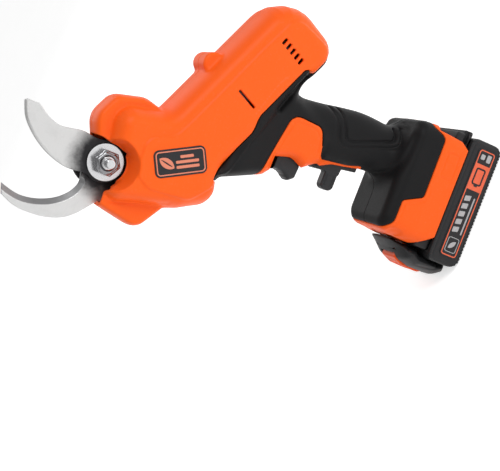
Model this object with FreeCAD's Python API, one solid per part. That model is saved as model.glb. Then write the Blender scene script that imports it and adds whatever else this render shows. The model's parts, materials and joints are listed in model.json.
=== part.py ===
import FreeCAD, Part
import math
import os

# Battery electric pruner, standing on its battery. Millimetres.
# Origin: on the battery's base, below the grip. +X points to the trigger and hook side,
# +Y to the user's left, +Z up. The tool is symmetric about the plane Y = 0 unless stated.

V = FreeCAD.Vector

# Casing
SKIN = 1.6              # soft-touch layer
WALL = 3.6              # casing wall, soft layer included
HEAD_HALF = 31.0        # half width of the barrel and head
SPINE_HALF = 15.0       # half width of the two bulges that the sector gear swings into
NECK_HALF = 19.0
GRIP_HALF = 17.5
FOOT_HALF = 37.5
FOOT_TOP = 71.0
SKIRT_LOW = 26.6

# Motor axis: it leans back by MOTOR_TILT and passes through MOTOR_MID
MOTOR_TILT = math.radians(24.2)
MOTOR_MID = V(-40, 0, 185)
ALONG = V(math.cos(MOTOR_TILT), 0, math.sin(MOTOR_TILT))
ACROSS = V(-math.sin(MOTOR_TILT), 0, math.cos(MOTOR_TILT))
SIDE = V(0, 1, 0)
BARREL_REAR = -38.5     # rear face of the barrel, along the motor axis
BARREL_R = 31.5
MOTOR_R = 18.75

# Blades turn about the pivot; the stack lies along Y
PIVOT = V(73.5, 0, 273)
BOLT_R = 7.0
HOOK_Y = (-4.5, 0.5)
KNIFE_Y = (0.6, 4.6)
SECTOR_Y = (4.8, 9.8)
WASHER_Y = (4.75, 7.25)
NUT_Y = (7.25, 15.65)

# Gears
SPUR_MODULE = 1.6
SPUR_TEETH = 10
SECTOR_TEETH = 50       # of the full circle
STAGE_MODULE = 0.8
SUN_TEETH = 12
PLANET_TEETH = 18
RING_TEETH = 48
BEVEL_MODULE = 7.0 / 6.0
BEVEL_PINION_TEETH = 12
BEVEL_GEAR_TEETH = 24
BEVEL_ADDENDUM = 0.5    # in modules
BEVEL_DEDENDUM = 1.1
BEVEL_BACKLASH = 0.55
JACK_FROM_MID = 105.4   # jack shaft's place on the motor axis
JACK = MOTOR_MID + ALONG * JACK_FROM_MID

# Battery
PACK_X = (-46.0, 52.0)
PACK_HALF = 38.0
PACK_TOP = 26.0
CELL_R = 9.1
CELL_LENGTH = 65.0
CELL_COUNT = 5

os.makedirs("parts", exist_ok=True)


# ---------------------------------------------------------------- tools

def save(name, *solids):
    """Write one node: a single solid, or a group of separate solids."""
    shape = solids[0] if len(solids) == 1 else Part.makeCompound(list(solids))
    shape.exportStep("parts/" + name + ".step")


def fuse(solids):
    first, rest = solids[0], solids[1:]
    return first.fuse(rest).removeSplitter() if rest else first


def on_axis(along, across=0.0, side=0.0):
    """A point in the motor's own directions."""
    return MOTOR_MID + ALONG * along + ACROSS * across + SIDE * side


def rounded_wire(corners, y):
    """Closed outline in the XZ plane at y. Each corner is (x, z) or (x, z, radius)."""
    points = [V(c[0], y, c[1]) for c in corners]
    edges, first, last = [], None, None
    for i, corner in enumerate(corners):
        here = points[i]
        before = (points[i - 1] - here).normalize()
        after = (points[(i + 1) % len(points)] - here).normalize()
        radius = corner[2] if len(corner) > 2 else 0
        start = end = here
        arc = None
        if radius:
            half = before.getAngle(after) / 2
            reach = radius / math.tan(half)
            start, end = here + before * reach, here + after * reach
            middle = (before + after).normalize() * (radius / math.sin(half) - radius)
            arc = Part.Arc(start, here + middle, end).toShape()
        if last is not None and last.distanceToPoint(start) > 1e-6:
            edges.append(Part.makeLine(last, start))
        if arc:
            edges.append(arc)
        first = start if first is None else first
        last = end
    if last.distanceToPoint(first) > 1e-6:
        edges.append(Part.makeLine(last, first))
    return Part.Wire(edges)


def curve_edge(points, y):
    """Smooth edge in the XZ plane through the given (x, z) points."""
    curve = Part.BSplineCurve()
    curve.interpolate([V(x, y, z) for x, z in points])
    return curve.toShape()


def plate(corners, y0, y1):
    return Part.Face(rounded_wire(corners, y0)).extrude(V(0, y1 - y0, 0))


def prism(corners, half, inset=0.0, edge=0.0):
    """Symmetric plate with rounded side edges. inset shrinks it on every side."""
    face = Part.Face(rounded_wire(corners, -(half - inset)))
    if inset:
        face = face.makeOffset2D(-inset)
    solid = face.extrude(V(0, 2 * (half - inset), 0))
    radius = edge - inset
    if radius <= 0:
        return solid
    rims = [e for e in solid.Edges if all(abs(abs(v.Y) - half + inset) < 1e-4 for v in e.Vertexes)
            and abs(e.BoundBox.YLength) < 1e-4]
    return solid.makeFillet(radius, rims)


def disc_y(centre, radius, y0, y1, hole=0.0):
    """Cylinder or ring about an axis along Y."""
    base = V(centre.x, y0, centre.z)
    solid = Part.makeCylinder(radius, y1 - y0, base, SIDE)
    return solid.cut(Part.makeCylinder(hole, y1 - y0, base, SIDE)) if hole else solid


def disc_u(radius, s0, s1, hole=0.0, centre=(0.0, 0.0)):
    """Cylinder or ring about the motor axis, or parallel to it."""
    base = on_axis(s0, *centre)
    solid = Part.makeCylinder(radius, s1 - s0, base, ALONG)
    return solid.cut(Part.makeCylinder(hole, s1 - s0, base, ALONG)) if hole else solid


def box(x0, x1, y0, y1, z0, z1):
    return Part.makeBox(x1 - x0, y1 - y0, z1 - z0, V(x0, y0, z0))


def rounded_box(x0, x1, half_y, z0, z1, corner, top_edge=0.0, bottom_edge=0.0):
    """Box with rounded upright corners, and softened top and bottom rims."""
    solid = box(x0, x1, -half_y, half_y, z0, z1)
    uprights = [e for e in solid.Edges if e.BoundBox.ZLength > 1e-4]
    solid = solid.makeFillet(corner, uprights)
    for level, radius in ((z1, top_edge), (z0, bottom_edge)):
        if radius:
            rim = [e for e in solid.Edges if abs(e.BoundBox.ZMin - level) < 1e-4
                   and e.BoundBox.ZLength < 1e-4]
            solid = solid.makeFillet(radius, rim)
    return solid


def route(points, radius, bend):
    """Round wire along straight runs joined by arcs of one bend radius."""
    edges, last = [], points[0]
    for i in range(1, len(points) - 1):
        here = points[i]
        before = (points[i - 1] - here).normalize()
        after = (points[i + 1] - here).normalize()
        half = before.getAngle(after) / 2
        reach = bend / math.tan(half)
        start, end = here + before * reach, here + after * reach
        middle = here + (before + after).normalize() * (bend / math.sin(half) - bend)
        edges.append(Part.makeLine(last, start))
        edges.append(Part.Arc(start, middle, end).toShape())
        last = end
    edges.append(Part.makeLine(last, points[-1]))
    path = Part.Wire(edges)
    ring = Part.Wire(Part.makeCircle(radius, points[0], points[1] - points[0]))
    return path.makePipeShell([ring], True, True)


def coil(start, direction, radius, wire, length, turns):
    """Helical spring."""
    helix = Part.makeHelix(length / turns, length, radius)
    ring = Part.Wire(Part.makeCircle(wire, V(radius, 0, 0), V(0, 1, 0)))
    spring = Part.Wire(helix).makePipeShell([ring], True, True)
    spring.Placement = FreeCAD.Placement(start, FreeCAD.Rotation(V(0, 0, 1), direction))
    return spring


# ---------------------------------------------------------------- gear teeth

PRESSURE = math.radians(20)


def involute(angle):
    return math.tan(angle) - angle


def tooth_flank(pitch_r, module, teeth, addendum, dedendum, backlash, steps=5):
    """(radius, half angle) pairs up one flank, root to tip. Negative backlash widens."""
    base_r = pitch_r * math.cos(PRESSURE)
    at_pitch = math.pi / (2 * teeth) - backlash / (2 * pitch_r)
    root, tip = pitch_r - dedendum * module, pitch_r + addendum * module
    lowest = max(root, base_r)
    flank = [(root, at_pitch + involute(PRESSURE))] if root < base_r else []
    for i in range(steps):
        r = lowest + (tip - lowest) * i / (steps - 1)
        flank.append((r, at_pitch + involute(PRESSURE) - involute(math.acos(min(1, base_r / r)))))
    return flank


def gear_outline(pitch_r, module, teeth, first, count, addendum=0.8, dedendum=1.1, backlash=0.25):
    """Polar points (radius, angle) of count teeth; the first tooth is centred on angle first."""
    flank = tooth_flank(pitch_r, module, teeth, addendum, dedendum, backlash)
    points = []
    for k in range(count):
        middle = first + 2 * math.pi * k / teeth
        points += [(r, middle - half) for r, half in flank]
        points += [(r, middle + half) for r, half in reversed(flank)]
    return points


def polygon_face(points):
    return Part.Face(Part.makePolygon(points + [points[0]]))


def spur_gear(centre, y0, y1, pitch_r, module, teeth, first, bore=0.0, **options):
    """Gear about an axis along Y. Angles run from +X towards +Z."""
    points = [V(centre.x + r * math.cos(a), y0, centre.z + r * math.sin(a))
              for r, a in gear_outline(pitch_r, module, teeth, first, teeth, **options)]
    solid = polygon_face(points).extrude(V(0, y1 - y0, 0))
    return solid.cut(disc_y(centre, bore, y0, y1)) if bore else solid


def axial_gear(s0, s1, pitch_r, module, teeth, first, bore=0.0, centre=(0.0, 0.0), **options):
    """Gear about the motor axis, or parallel to it. Angles run from ACROSS towards SIDE."""
    middle = on_axis(s0, *centre)
    points = [middle + ACROSS * (r * math.cos(a)) + SIDE * (r * math.sin(a))
              for r, a in gear_outline(pitch_r, module, teeth, first, teeth, **options)]
    solid = polygon_face(points).extrude(ALONG * (s1 - s0))
    return solid.cut(disc_u(bore, s0, s1, centre=centre)) if bore else solid


def bevel(apex, axis, right, up, distance, pitch_r, module, teeth, first, width):
    """Bevel gear: a tooth outline drawn towards the apex where the two axes meet."""
    outline = gear_outline(pitch_r, module, teeth, first, teeth, BEVEL_ADDENDUM, BEVEL_DEDENDUM,
                           BEVEL_BACKLASH)
    rings = []
    for share in (1.0, 1.0 - width / distance):
        middle = apex + axis * (distance * share)
        points = [middle + right * (r * share * math.cos(a)) + up * (r * share * math.sin(a))
                  for r, a in outline]
        rings.append(Part.makePolygon(points + [points[0]]))
    return Part.makeLoft(rings, True, True)


# ---------------------------------------------------------------- casing

REAR_LOW = on_axis(BARREL_REAR, 2 - BARREL_R)
REAR_HIGH = on_axis(BARREL_REAR - 3, BARREL_R)

HEAD = [
    (101, 271, 14), (86, 214, 18), (71, 189.5, 13), (47, 196.5, 26),
    (REAR_LOW.x, REAR_LOW.z, 16), (REAR_HIGH.x, REAR_HIGH.z, 24),
    (24, 248.3, 10), (31, 285, 15),
]
SPINE = [
    (103.5, 270.5, 3), (110.2, 236, 11), (89, 222.5, 4), (73.5, 189, 14), (50, 196, 6),
    (40, 225, 6), (23.5, 249.5, 3), (20.2, 263, 12), (26, 285, 12), (45, 294, 16), (60, 287, 2),
]
SCREW_BUMP = V(-20.5, 0, 227.4)
SCREW_BUMP_R = 8.0
NECK = [
    (58, 203, 4), (40, 160, 4), (34.5, 155, 1.5), (24, 155, 1), (20.5, 143.5, 8), (25, 133, 1),
    (15, 122, 5), (-2, 122, 5), (-14, 140, 8), (-23, 159.5, 5), (-43, 160, 2.5), (-44, 175, 3),
]
# Grip sections from the foot up: height, front x, rear x, half width
GRIP_SECTIONS = [
    (58, 3, -28, 16), (72, 5.2, -29.7, 16.4), (88, 7.6, -31.6, GRIP_HALF),
    (104, 11.2, -31.9, GRIP_HALF), (120, 14.6, -29.6, GRIP_HALF), (136, 15, -26.6, GRIP_HALF),
    (152, 16, -24.6, GRIP_HALF), (170, 16, -24, GRIP_HALF),
]
SECTION_POINTS = 20
SECTION_POWER = 2.5     # 2 is an ellipse, more is squarer

FOOT_X = (-44.5, 45.5)

# Outline of everything that carries the soft layer, seen from the side
SOFT_ZONE = [
    (57.5, 200.5), (50, 200, 6), (30, 193, 20), (15, 186.5, 14), (3, 186.5, 14), (-42, 166.5, 4),
    (-40, 158, 4), (-60, 150), (-60, 57), (-41, 57, 3), (-36, 47, 5), (11, 46.5, 3),
    (18.5, 61, 3), (36, 61, 8), (43.5, 67, 8), (46, 78), (60, 90), (20, 90), (5, 89, 2),
    (9, 101, 10), (13, 127, 4), (4, 129.5, 20), (-8.5, 134, 6), (-9.5, 159, 8), (20, 164, 40),
    (44, 168), (57, 188),
]
COLLAR_FRONT = [(34.5, 20), (35, 26), (39, 31), (46, 40), (48, 50), (75, 50), (75, 20)]
COLLAR_REAR = [(-33.5, 20), (-34.5, 27.5), (-38.5, 33), (-40.2, 52), (-60, 52), (-60, 20)]
RAIL = (-37, 32, 29.8, 35.0, 28.7, 31.3)


def grip_section(z, front, rear, half, inset):
    a, b = (front - rear) / 2 - inset, half - inset
    centre = (front + rear) / 2
    points = []
    for i in range(SECTION_POINTS):
        t = 2 * math.pi * i / SECTION_POINTS
        c, s = math.cos(t), math.sin(t)
        points.append(V(centre + a * math.copysign(abs(c) ** (2 / SECTION_POWER), c),
                        b * math.copysign(abs(s) ** (2 / SECTION_POWER), s), z))
    curve = Part.BSplineCurve()
    curve.interpolate(points, PeriodicFlag=True)
    return Part.Wire(curve.toShape())


def grip(inset):
    return Part.makeLoft([grip_section(*row, inset) for row in GRIP_SECTIONS], True)


def foot(inset):
    solid = rounded_box(FOOT_X[0] + inset, FOOT_X[1] - inset, FOOT_HALF - inset,
                        SKIRT_LOW, FOOT_TOP - inset, 12 - inset, top_edge=9 - inset)
    return solid.cut(plate(COLLAR_FRONT, -50, 50)).cut(plate(COLLAR_REAR, -50, 50))


def casing(inset):
    """The outer form of the whole casing, shrunk by inset."""
    return fuse([
        prism(HEAD, HEAD_HALF, inset, 12),
        prism(SPINE, SPINE_HALF, inset, 5),
        disc_y(SCREW_BUMP, SCREW_BUMP_R - inset, -SPINE_HALF + inset, SPINE_HALF - inset),
        prism(NECK, NECK_HALF, inset, 6 if inset < WALL else 0),
        grip(inset),
        foot(inset),
    ])


def cone_y(centre, r0, y0, r1, y1):
    if y0 < y1:
        return Part.makeCone(r0, r1, y1 - y0, V(centre.x, y0, centre.z), SIDE)
    return Part.makeCone(r0, r1, y0 - y1, V(centre.x, y0, centre.z), SIDE * -1)


SCREWS = [V(-20.5, 0, 227.7), V(-55, 0, 152), V(27, 0, 257), V(101, 0, 237), V(68, 0, 200),
          V(45, 0, 182), V(-21, 0, 92), V(36, 0, 66), V(-36, 0, 66)]
SCREW_R = 1.5
SCREW_HEAD_R = 3.0
SCREW_SEAT = -8.0
SCREW_TIP = 9.0
BOSS_R = 3.8


def screw(place):
    head = disc_y(place, SCREW_HEAD_R, SCREW_SEAT - 2.4, SCREW_SEAT)
    shank = disc_y(place, SCREW_R, SCREW_SEAT, SCREW_TIP)
    drive = disc_y(place, 1.2, SCREW_SEAT - 2.4, SCREW_SEAT - 1.0)
    return head.fuse(shank).cut(drive).removeSplitter()


def dish(side, floor, inner_r, rim_r):
    """Wall and floor of the round recess about the pivot, and the space inside it."""
    y0, y1 = side * floor, side * (floor + 2.5)
    out = side * (HEAD_HALF + 2)
    wall = disc_y(PIVOT, inner_r + 2.5, min(y0, y1), max(y0, y1)).fuse(
        cone_y(PIVOT, inner_r + 2.5, y1, rim_r + 2.5, out))
    space = cone_y(PIVOT, inner_r, y1, rim_r, out)
    return wall, space


MOTOR_RIBS = ((-18, MOTOR_R + 0.1), (18, MOTOR_R + 0.1), (36, 22.6), (62, 12.6))
RIB = 2.5
BLADE_SLOT = [(57.5, 310), (57.5, 283), (62, 262), (85, 262), (93, 268), (140, 266), (140, 310)]
HOOK_SLOT = [(84, 262), (94, 255), (106, 261), (120, 280), (84, 292)]
DISH_LEFT = dish(1, 10.2, 19.5, 25)
DISH_RIGHT = dish(-1, 13.5, 20.5, 25)
VENT_COUNT = 5
LEAD_ACROSS = -15.5      # the motor leads run beside the can
LEAD_SIDE = 18.5
LEVER_PIN = V(16.0, 0, 123.0)


def vents():
    """Air slots on both sides, near the barrel's rear."""
    slots = []
    for i in range(VENT_COUNT):
        middle = V(-53 + 2.1 * i, 0, 189.5 - 4.1 * i)
        slot = Part.makeBox(5, 90, 2.2, V(-2.5, -45, -1.1))
        slot.Placement = FreeCAD.Placement(middle, FreeCAD.Rotation(SIDE, -20))
        slots.append(slot)
    long_slot = Part.makeBox(1.8, 90, 17, V(-0.9, -45, -8.5))
    long_slot.Placement = FreeCAD.Placement(V(-4.7, 0, 200.2), FreeCAD.Rotation(SIDE, -26))
    return slots + [long_slot]


def housings():
    full, under, cavity = casing(0), casing(SKIN), casing(WALL)
    soft = plate(SOFT_ZONE, -60, 60)
    soft_layer = full.common(soft).cut(under)
    hard = full.cut(cavity).cut(soft)
    hard = hard.fuse(under.cut(cavity).common(soft))
    core = prism(HEAD, HEAD_HALF, SKIN, 12)
    ribs = [disc_u(45, s, s + RIB, hole).common(core) for s, hole in MOTOR_RIBS]
    bosses = [disc_y(place, BOSS_R, -35, 35).common(under) for place in SCREWS]
    pivot_boss = disc_y(PIVOT, 18, -16, -9.1)
    walls = [DISH_LEFT[0].common(full), DISH_RIGHT[0].common(full), pivot_boss]
    for group in (ribs, bosses, walls):
        hard = hard.fuse(group)
    holes = [DISH_LEFT[1], DISH_RIGHT[1], disc_y(PIVOT, 14.2, 0, 40), disc_y(PIVOT, 11.5, -20, 0),
             disc_y(PIVOT, 20.5, -60, -16.02), plate(BLADE_SLOT, -9.1, 10.2), plate(HOOK_SLOT, -9.1, 0.9),
             plate(BLADE_SLOT, 10, 60),
             box(-60, 41, -34.5, 34.5, 20, 52),
             box(0, 60, -34.5, 34.5, 20, 39), box(0, 60, -20, 20, 20, 52),
             box(38, 60, -8.5, 8.5, 50, 57),
             box(5, 45, -9.3, 9.3, 132.2, 154.6),
             plate([(-4, 128), (30, 128), (30, 88), (2, 88)], -6, 6),
             disc_y(LEVER_PIN, 1.5, -7.6, 7.6)] + vents()
    holes += [disc_u(2.0, -25, 30, centre=(LEAD_ACROSS, side * LEAD_SIDE)) for side in (-1, 1)]
    for place in SCREWS:
        holes.append(disc_y(place, SCREW_HEAD_R + 0.3, -60, SCREW_SEAT))
        holes.append(disc_y(place, SCREW_R, SCREW_SEAT, SCREW_TIP + 1))
    for name, low, high in (("left", 0, 80), ("right", -80, 0)):
        half = box(-120, 150, low, high, 0, 360)
        shell, layer = hard.common(half), soft_layer.common(half)
        for hole in holes:
            shell = shell.cut(hole)
            layer = layer.cut(hole)
        x0, x1, y0, y1, z0, z1 = RAIL
        shell = shell.fuse(box(x0, x1, y0, y1, z0, z1) if low == 0 else box(x0, x1, -y1, -y0, z0, z1))
        save(name + "_housing", max(shell.Solids, key=lambda s: s.Volume))
        save(name + "_grip_overmould", *[s for s in layer.Solids if s.Volume > 20])


housings()
save("housing_screws", *[screw(place) for place in SCREWS])
save("pivot_cap", disc_y(PIVOT, 19.5, -20, -16.05).fuse(disc_y(PIVOT, 11, -16.05, -15.55)))

# ---------------------------------------------------------------- badges

BADGE_MID = V(54, 0, 229)
BADGE_LONG = V(-0.47, 0, -0.88)
BADGE_SIZE = (36.0, 18.5)
BADGE_R = 4.0


def badge(side):
    along = V(BADGE_LONG.x, 0, BADGE_LONG.z).normalize()
    across = V(-along.z, 0, along.x)
    corners = []
    for a, c in ((1, 1), (-1, 1), (-1, -1), (1, -1)):
        p = BADGE_MID + along * (a * BADGE_SIZE[0] / 2) + across * (c * BADGE_SIZE[1] / 2)
        corners.append((p.x, p.z, BADGE_R))
    return plate(corners, *sorted((side * HEAD_HALF, side * (HEAD_HALF + 0.6))))


save("side_badges", badge(1), badge(-1))

# ---------------------------------------------------------------- blades and pivot

HOOK_INNER = [(113, 334.5), (115.5, 326), (116.5, 318), (115, 308), (111, 298), (106, 291),
              (100, 286), (93, 283.5), (86, 285)]
HOOK_OUTER = [(98, 262), (102, 267), (108, 272), (115, 278), (121, 286), (125, 298), (126, 311),
              (125, 321), (120.5, 332)]
HOOK_ROOT = [(88, 284, 3), (101, 268, 3), (88, 246, 5), (62, 247, 5), (60, 270, 5)]
KNIFE_FRONT = [(54, 340.5), (63, 335.5), (70, 329), (77, 320), (82, 311), (85.5, 301), (86.3, 294),
               (85.5, 284)]
KNIFE_BACK = [(60, 276), (59.3, 287), (58.6, 296), (60.8, 305), (62.3, 313), (59.8, 322),
              (55, 330), (53, 337)]
KNIFE_HUB_R = 15.0
SECTOR_R = SPUR_MODULE * SECTOR_TEETH / 2
SECTOR_INNER = 17.0
SECTOR_FROM = math.radians(-121)
SECTOR_SPAN = math.radians(70)
TAIL_R = 31.0
BUSH_R = 9.0
RIVET_R = 2.0
RIVET_AT = [math.radians(a) for a in (-108, -64)]
RIVET_CIRCLE = 24.0
HOOK_SCREWS = [V(67, 0, 253), V(85, 0, 254)]
CASE_PLATE_Y = (-9.0, -4.6)


def blade(edge_a, edge_b, y0, y1):
    """Flat blade between two curved edges, closed by straight ends."""
    first, second = curve_edge(edge_a, y0), curve_edge(edge_b, y0)
    ends = [Part.makeLine(V(edge_a[-1][0], y0, edge_a[-1][1]), V(edge_b[0][0], y0, edge_b[0][1])),
            Part.makeLine(V(edge_b[-1][0], y0, edge_b[-1][1]), V(edge_a[0][0], y0, edge_a[0][1]))]
    return Part.Face(Part.Wire([first, ends[0], second, ends[1]])).extrude(V(0, y1 - y0, 0))


def arc_point(centre, radius, angle, y):
    return V(centre.x + radius * math.cos(angle), y, centre.z + radius * math.sin(angle))


def ring_sector(inner, outer, start, span, y0, y1):
    """Part of a flat ring about the pivot."""
    a, b, m = start, start + span, start + span / 2
    edges = [
        Part.Arc(arc_point(PIVOT, outer, a, y0), arc_point(PIVOT, outer, m, y0),
                 arc_point(PIVOT, outer, b, y0)).toShape(),
        Part.makeLine(arc_point(PIVOT, outer, b, y0), arc_point(PIVOT, inner, b, y0)),
        Part.Arc(arc_point(PIVOT, inner, b, y0), arc_point(PIVOT, inner, m, y0),
                 arc_point(PIVOT, inner, a, y0)).toShape(),
        Part.makeLine(arc_point(PIVOT, inner, a, y0), arc_point(PIVOT, outer, a, y0)),
    ]
    return Part.Face(Part.Wire(edges)).extrude(V(0, y1 - y0, 0))


def countersunk(place, face_y, tip_y, shank_r=2.5, head_r=4.5, depth=2.2):
    cone = Part.makeCone(head_r, shank_r, depth, V(place.x, face_y, place.z), SIDE * -1)
    return cone.fuse(disc_y(place, shank_r, tip_y, face_y - depth))


def hex_prism(centre, across_flats, y0, y1):
    r = across_flats / math.sqrt(3)
    points = [arc_point(centre, r, math.pi / 6 + math.pi / 3 * i, y0) for i in range(6)]
    return polygon_face(points).extrude(V(0, y1 - y0, 0))


def blades():
    hook = fuse([blade(HOOK_INNER, HOOK_OUTER, *HOOK_Y), plate(HOOK_ROOT, *HOOK_Y),
                 disc_y(PIVOT, 16, *HOOK_Y)])
    screws = [countersunk(p, HOOK_Y[1] - 0.1, CASE_PLATE_Y[0]) for p in HOOK_SCREWS]
    for p in HOOK_SCREWS:
        hook = hook.cut(countersunk(p, HOOK_Y[1], HOOK_Y[0] - 1, 2.5, 4.6, 2.3))
    save("hook_blade", hook.cut(disc_y(PIVOT, BOLT_R, -10, 10)))
    save("hook_screws", *[s.cut(disc_y(p, 1.6, HOOK_Y[1] - 1.8, 2)) for s, p in zip(screws, HOOK_SCREWS)])

    tail = ring_sector(10, TAIL_R, SECTOR_FROM + 0.03, SECTOR_SPAN - 0.06, *KNIFE_Y)
    knife = fuse([blade(KNIFE_FRONT, KNIFE_BACK, *KNIFE_Y), disc_y(PIVOT, KNIFE_HUB_R, *KNIFE_Y), tail])
    sector = ring_sector(SECTOR_INNER, SECTOR_R - 1.2 * SPUR_MODULE, SECTOR_FROM, SECTOR_SPAN, *SECTOR_Y)
    tooth_step = 2 * math.pi / SECTOR_TEETH
    first = math.atan2(JACK.z - PIVOT.z, JACK.x - PIVOT.x) - tooth_step
    teeth = []
    for r, a in gear_outline(SECTOR_R, SPUR_MODULE, SECTOR_TEETH, first, 9):
        teeth.append(arc_point(PIVOT, r, a, SECTOR_Y[0]))
    low = SECTOR_R - 4
    outline = [arc_point(PIVOT, low, first - tooth_step / 3, SECTOR_Y[0])] + teeth
    outline.append(arc_point(PIVOT, low, first + 8.33 * tooth_step, SECTOR_Y[0]))
    sector = sector.fuse(polygon_face(outline).extrude(V(0, SECTOR_Y[1] - SECTOR_Y[0], 0)))
    rivets = []
    for angle in RIVET_AT:
        p = arc_point(PIVOT, RIVET_CIRCLE, angle, 0)
        knife = knife.cut(disc_y(p, RIVET_R, KNIFE_Y[0], KNIFE_Y[1]))
        sector = sector.cut(disc_y(p, RIVET_R, *SECTOR_Y))
        rivets.append(disc_y(p, RIVET_R, KNIFE_Y[0], SECTOR_Y[1] + 0.4))
    save("knife_blade", knife.cut(disc_y(PIVOT, BUSH_R, -10, 10)))
    save("sector_gear", sector)
    save("sector_rivets", *rivets)
    save("pivot_bush", disc_y(PIVOT, BUSH_R, *KNIFE_Y, BOLT_R + 0.05))

    bolt = fuse([hex_prism(PIVOT, 17, -15.4, -9.05), disc_y(PIVOT, BOLT_R, -9.05, 4.68),
                 disc_y(PIVOT, 5, 4.68, 18), disc_y(PIVOT, 3.4, 18, 25)])
    save("pivot_bolt", bolt)
    save("pivot_washer", disc_y(PIVOT, 13.25, *WASHER_Y, 5))
    nut = hex_prism(PIVOT, 17, *NUT_Y).common(fuse([
        cone_y(PIVOT, 8.7, NUT_Y[1], 11.6, NUT_Y[1] - 1.6), disc_y(PIVOT, 11.6, NUT_Y[0], NUT_Y[1] - 1.6)]))
    save("pivot_nut", nut.cut(disc_y(PIVOT, 5, *NUT_Y)))


blades()

# ---------------------------------------------------------------- gear case

CASE_RIGHT = [(91, 268, 3), (87, 240, 10), (80, 213, 4), (50, 202, 4), (43.5, 213, 4),
              (34, 236, 3), (34, 247, 4), (41, 250, 4), (57, 264, 6)]
CASE_LEFT = [(34, 248, 4), (34, 237, 4), (43.5, 213, 4), (50, 202, 4), (80, 213, 4), (83, 226, 4),
             (62, 246, 8)]
CASE_POSTS = [V(39.5, 0, 243), V(51, 0, 209), V(77, 0, 219)]
POST_R = 4.0
CASE_SCREW_R = 2.0
BRIDGE_Y = (11.0, 16.0)
BEVEL_WIDTH = 4.2
BEVEL_GEAR_R = BEVEL_MODULE * BEVEL_GEAR_TEETH / 2
BEVEL_PINION_R = BEVEL_MODULE * BEVEL_PINION_TEETH / 2
CUP_R = 18.5
CUP_INNER = 16.0
SHAFT_R = 4.0
SHAFT_GAP = 0.05
BEARING_R = 8.0
RIGHT_BEARING_Y = (-19.0, -14.0)


def bearing(inner, outer, half, place):
    """Ball bearing with its axis on local Z: two rings, balls and two shields."""
    gap = (outer - inner) / 3.4
    rings = [Part.makeCylinder(inner + gap, 2 * half).cut(Part.makeCylinder(inner, 2 * half)),
             Part.makeCylinder(outer, 2 * half).cut(Part.makeCylinder(outer - gap, 2 * half))]
    shields = [Part.makeCylinder(outer - gap - 0.02, 0.4, V(0, 0, z)).cut(
        Part.makeCylinder(inner + gap + 0.02, 0.4, V(0, 0, z))) for z in (0.2, 2 * half - 0.6)]
    middle = (inner + outer) / 2
    ball = (outer - inner) / 2 - gap - 0.03
    count = int(math.pi * middle / ball / 1.5)
    balls = [Part.makeSphere(ball, V(middle * math.cos(2 * math.pi * i / count),
                                     middle * math.sin(2 * math.pi * i / count), half))
             for i in range(count)]
    pieces = rings + shields + balls
    for piece in pieces:
        piece.Placement = place
    return pieces


def place_y(centre, y):
    return FreeCAD.Placement(V(centre.x, y, centre.z), FreeCAD.Rotation(V(0, 0, 1), SIDE))


def place_u(s, centre=(0.0, 0.0)):
    return FreeCAD.Placement(on_axis(s, *centre), FreeCAD.Rotation(V(0, 0, 1), ALONG))


def gear_case():
    right = plate(CASE_RIGHT, *CASE_PLATE_Y).fuse(disc_y(PIVOT, 14.5, *CASE_PLATE_Y))
    right = right.fuse(disc_y(JACK, CUP_R, -19.5, CASE_PLATE_Y[1]))
    right = right.cut(disc_y(JACK, CUP_INNER, -13.4, 0)).cut(disc_y(JACK, BEARING_R, *RIGHT_BEARING_Y))
    right = right.cut(disc_y(JACK, BEARING_R - 1, -14.5, -13))
    right = right.cut(disc_y(PIVOT, BOLT_R, -20, 0))
    left = plate(CASE_LEFT, *BRIDGE_Y).cut(disc_y(JACK, BEARING_R, *BRIDGE_Y))
    screws = []
    for post in CASE_POSTS:
        right = right.fuse(disc_y(post, POST_R, CASE_PLATE_Y[0], BRIDGE_Y[0]))
        right = right.cut(disc_y(post, CASE_SCREW_R, 0, BRIDGE_Y[0]))
        left = left.cut(disc_y(post, CASE_SCREW_R, *BRIDGE_Y))
        head = disc_y(post, 3.6, BRIDGE_Y[1], BRIDGE_Y[1] + 2.6).cut(
            hex_prism(post, 3, BRIDGE_Y[1] + 1, BRIDGE_Y[1] + 3))
        screws.append(head.fuse(disc_y(post, CASE_SCREW_R, 1, BRIDGE_Y[1])))
    for place in HOOK_SCREWS:
        right = right.cut(disc_y(place, 2.5, *CASE_PLATE_Y))
    save("gear_case_right", right)
    save("gear_case_left", left)
    save("gear_case_screws", *screws)
    half = (BRIDGE_Y[1] - BRIDGE_Y[0]) / 2
    save("jack_bearings", *bearing(SHAFT_R + SHAFT_GAP, BEARING_R, half, place_y(JACK, BRIDGE_Y[0])),
         *bearing(SHAFT_R + SHAFT_GAP, BEARING_R, half, place_y(JACK, RIGHT_BEARING_Y[0])))


def jack():
    """Cross shaft: bevel gear on the right, spur pinion for the sector on the left."""
    save("jack_shaft", disc_y(JACK, SHAFT_R, -18.8, 15.8))
    towards_sector = math.atan2(PIVOT.z - JACK.z, PIVOT.x - JACK.x)
    half_tooth = math.pi / SPUR_TEETH
    save("spur_pinion", spur_gear(JACK, SECTOR_Y[0] - 0.4, SECTOR_Y[1] + 0.4,
                                  SPUR_MODULE * SPUR_TEETH / 2, SPUR_MODULE, SPUR_TEETH,
                                  towards_sector + half_tooth, bore=SHAFT_R))
    teeth = bevel(JACK, SIDE * -1, ALONG * -1, ACROSS, BEVEL_PINION_R, BEVEL_GEAR_R, BEVEL_MODULE,
                  BEVEL_GEAR_TEETH, 0, BEVEL_WIDTH * BEVEL_PINION_R / BEVEL_GEAR_R)
    hub = disc_y(JACK, 10, -13.0, -BEVEL_PINION_R).fuse(disc_y(JACK, 6, -13.4, -12.9))
    gear = teeth.fuse(hub).cut(disc_y(JACK, SHAFT_R, -20, 5))
    save("bevel_gear", gear)


gear_case()
jack()

# ---------------------------------------------------------------- motor and planetary stage

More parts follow.
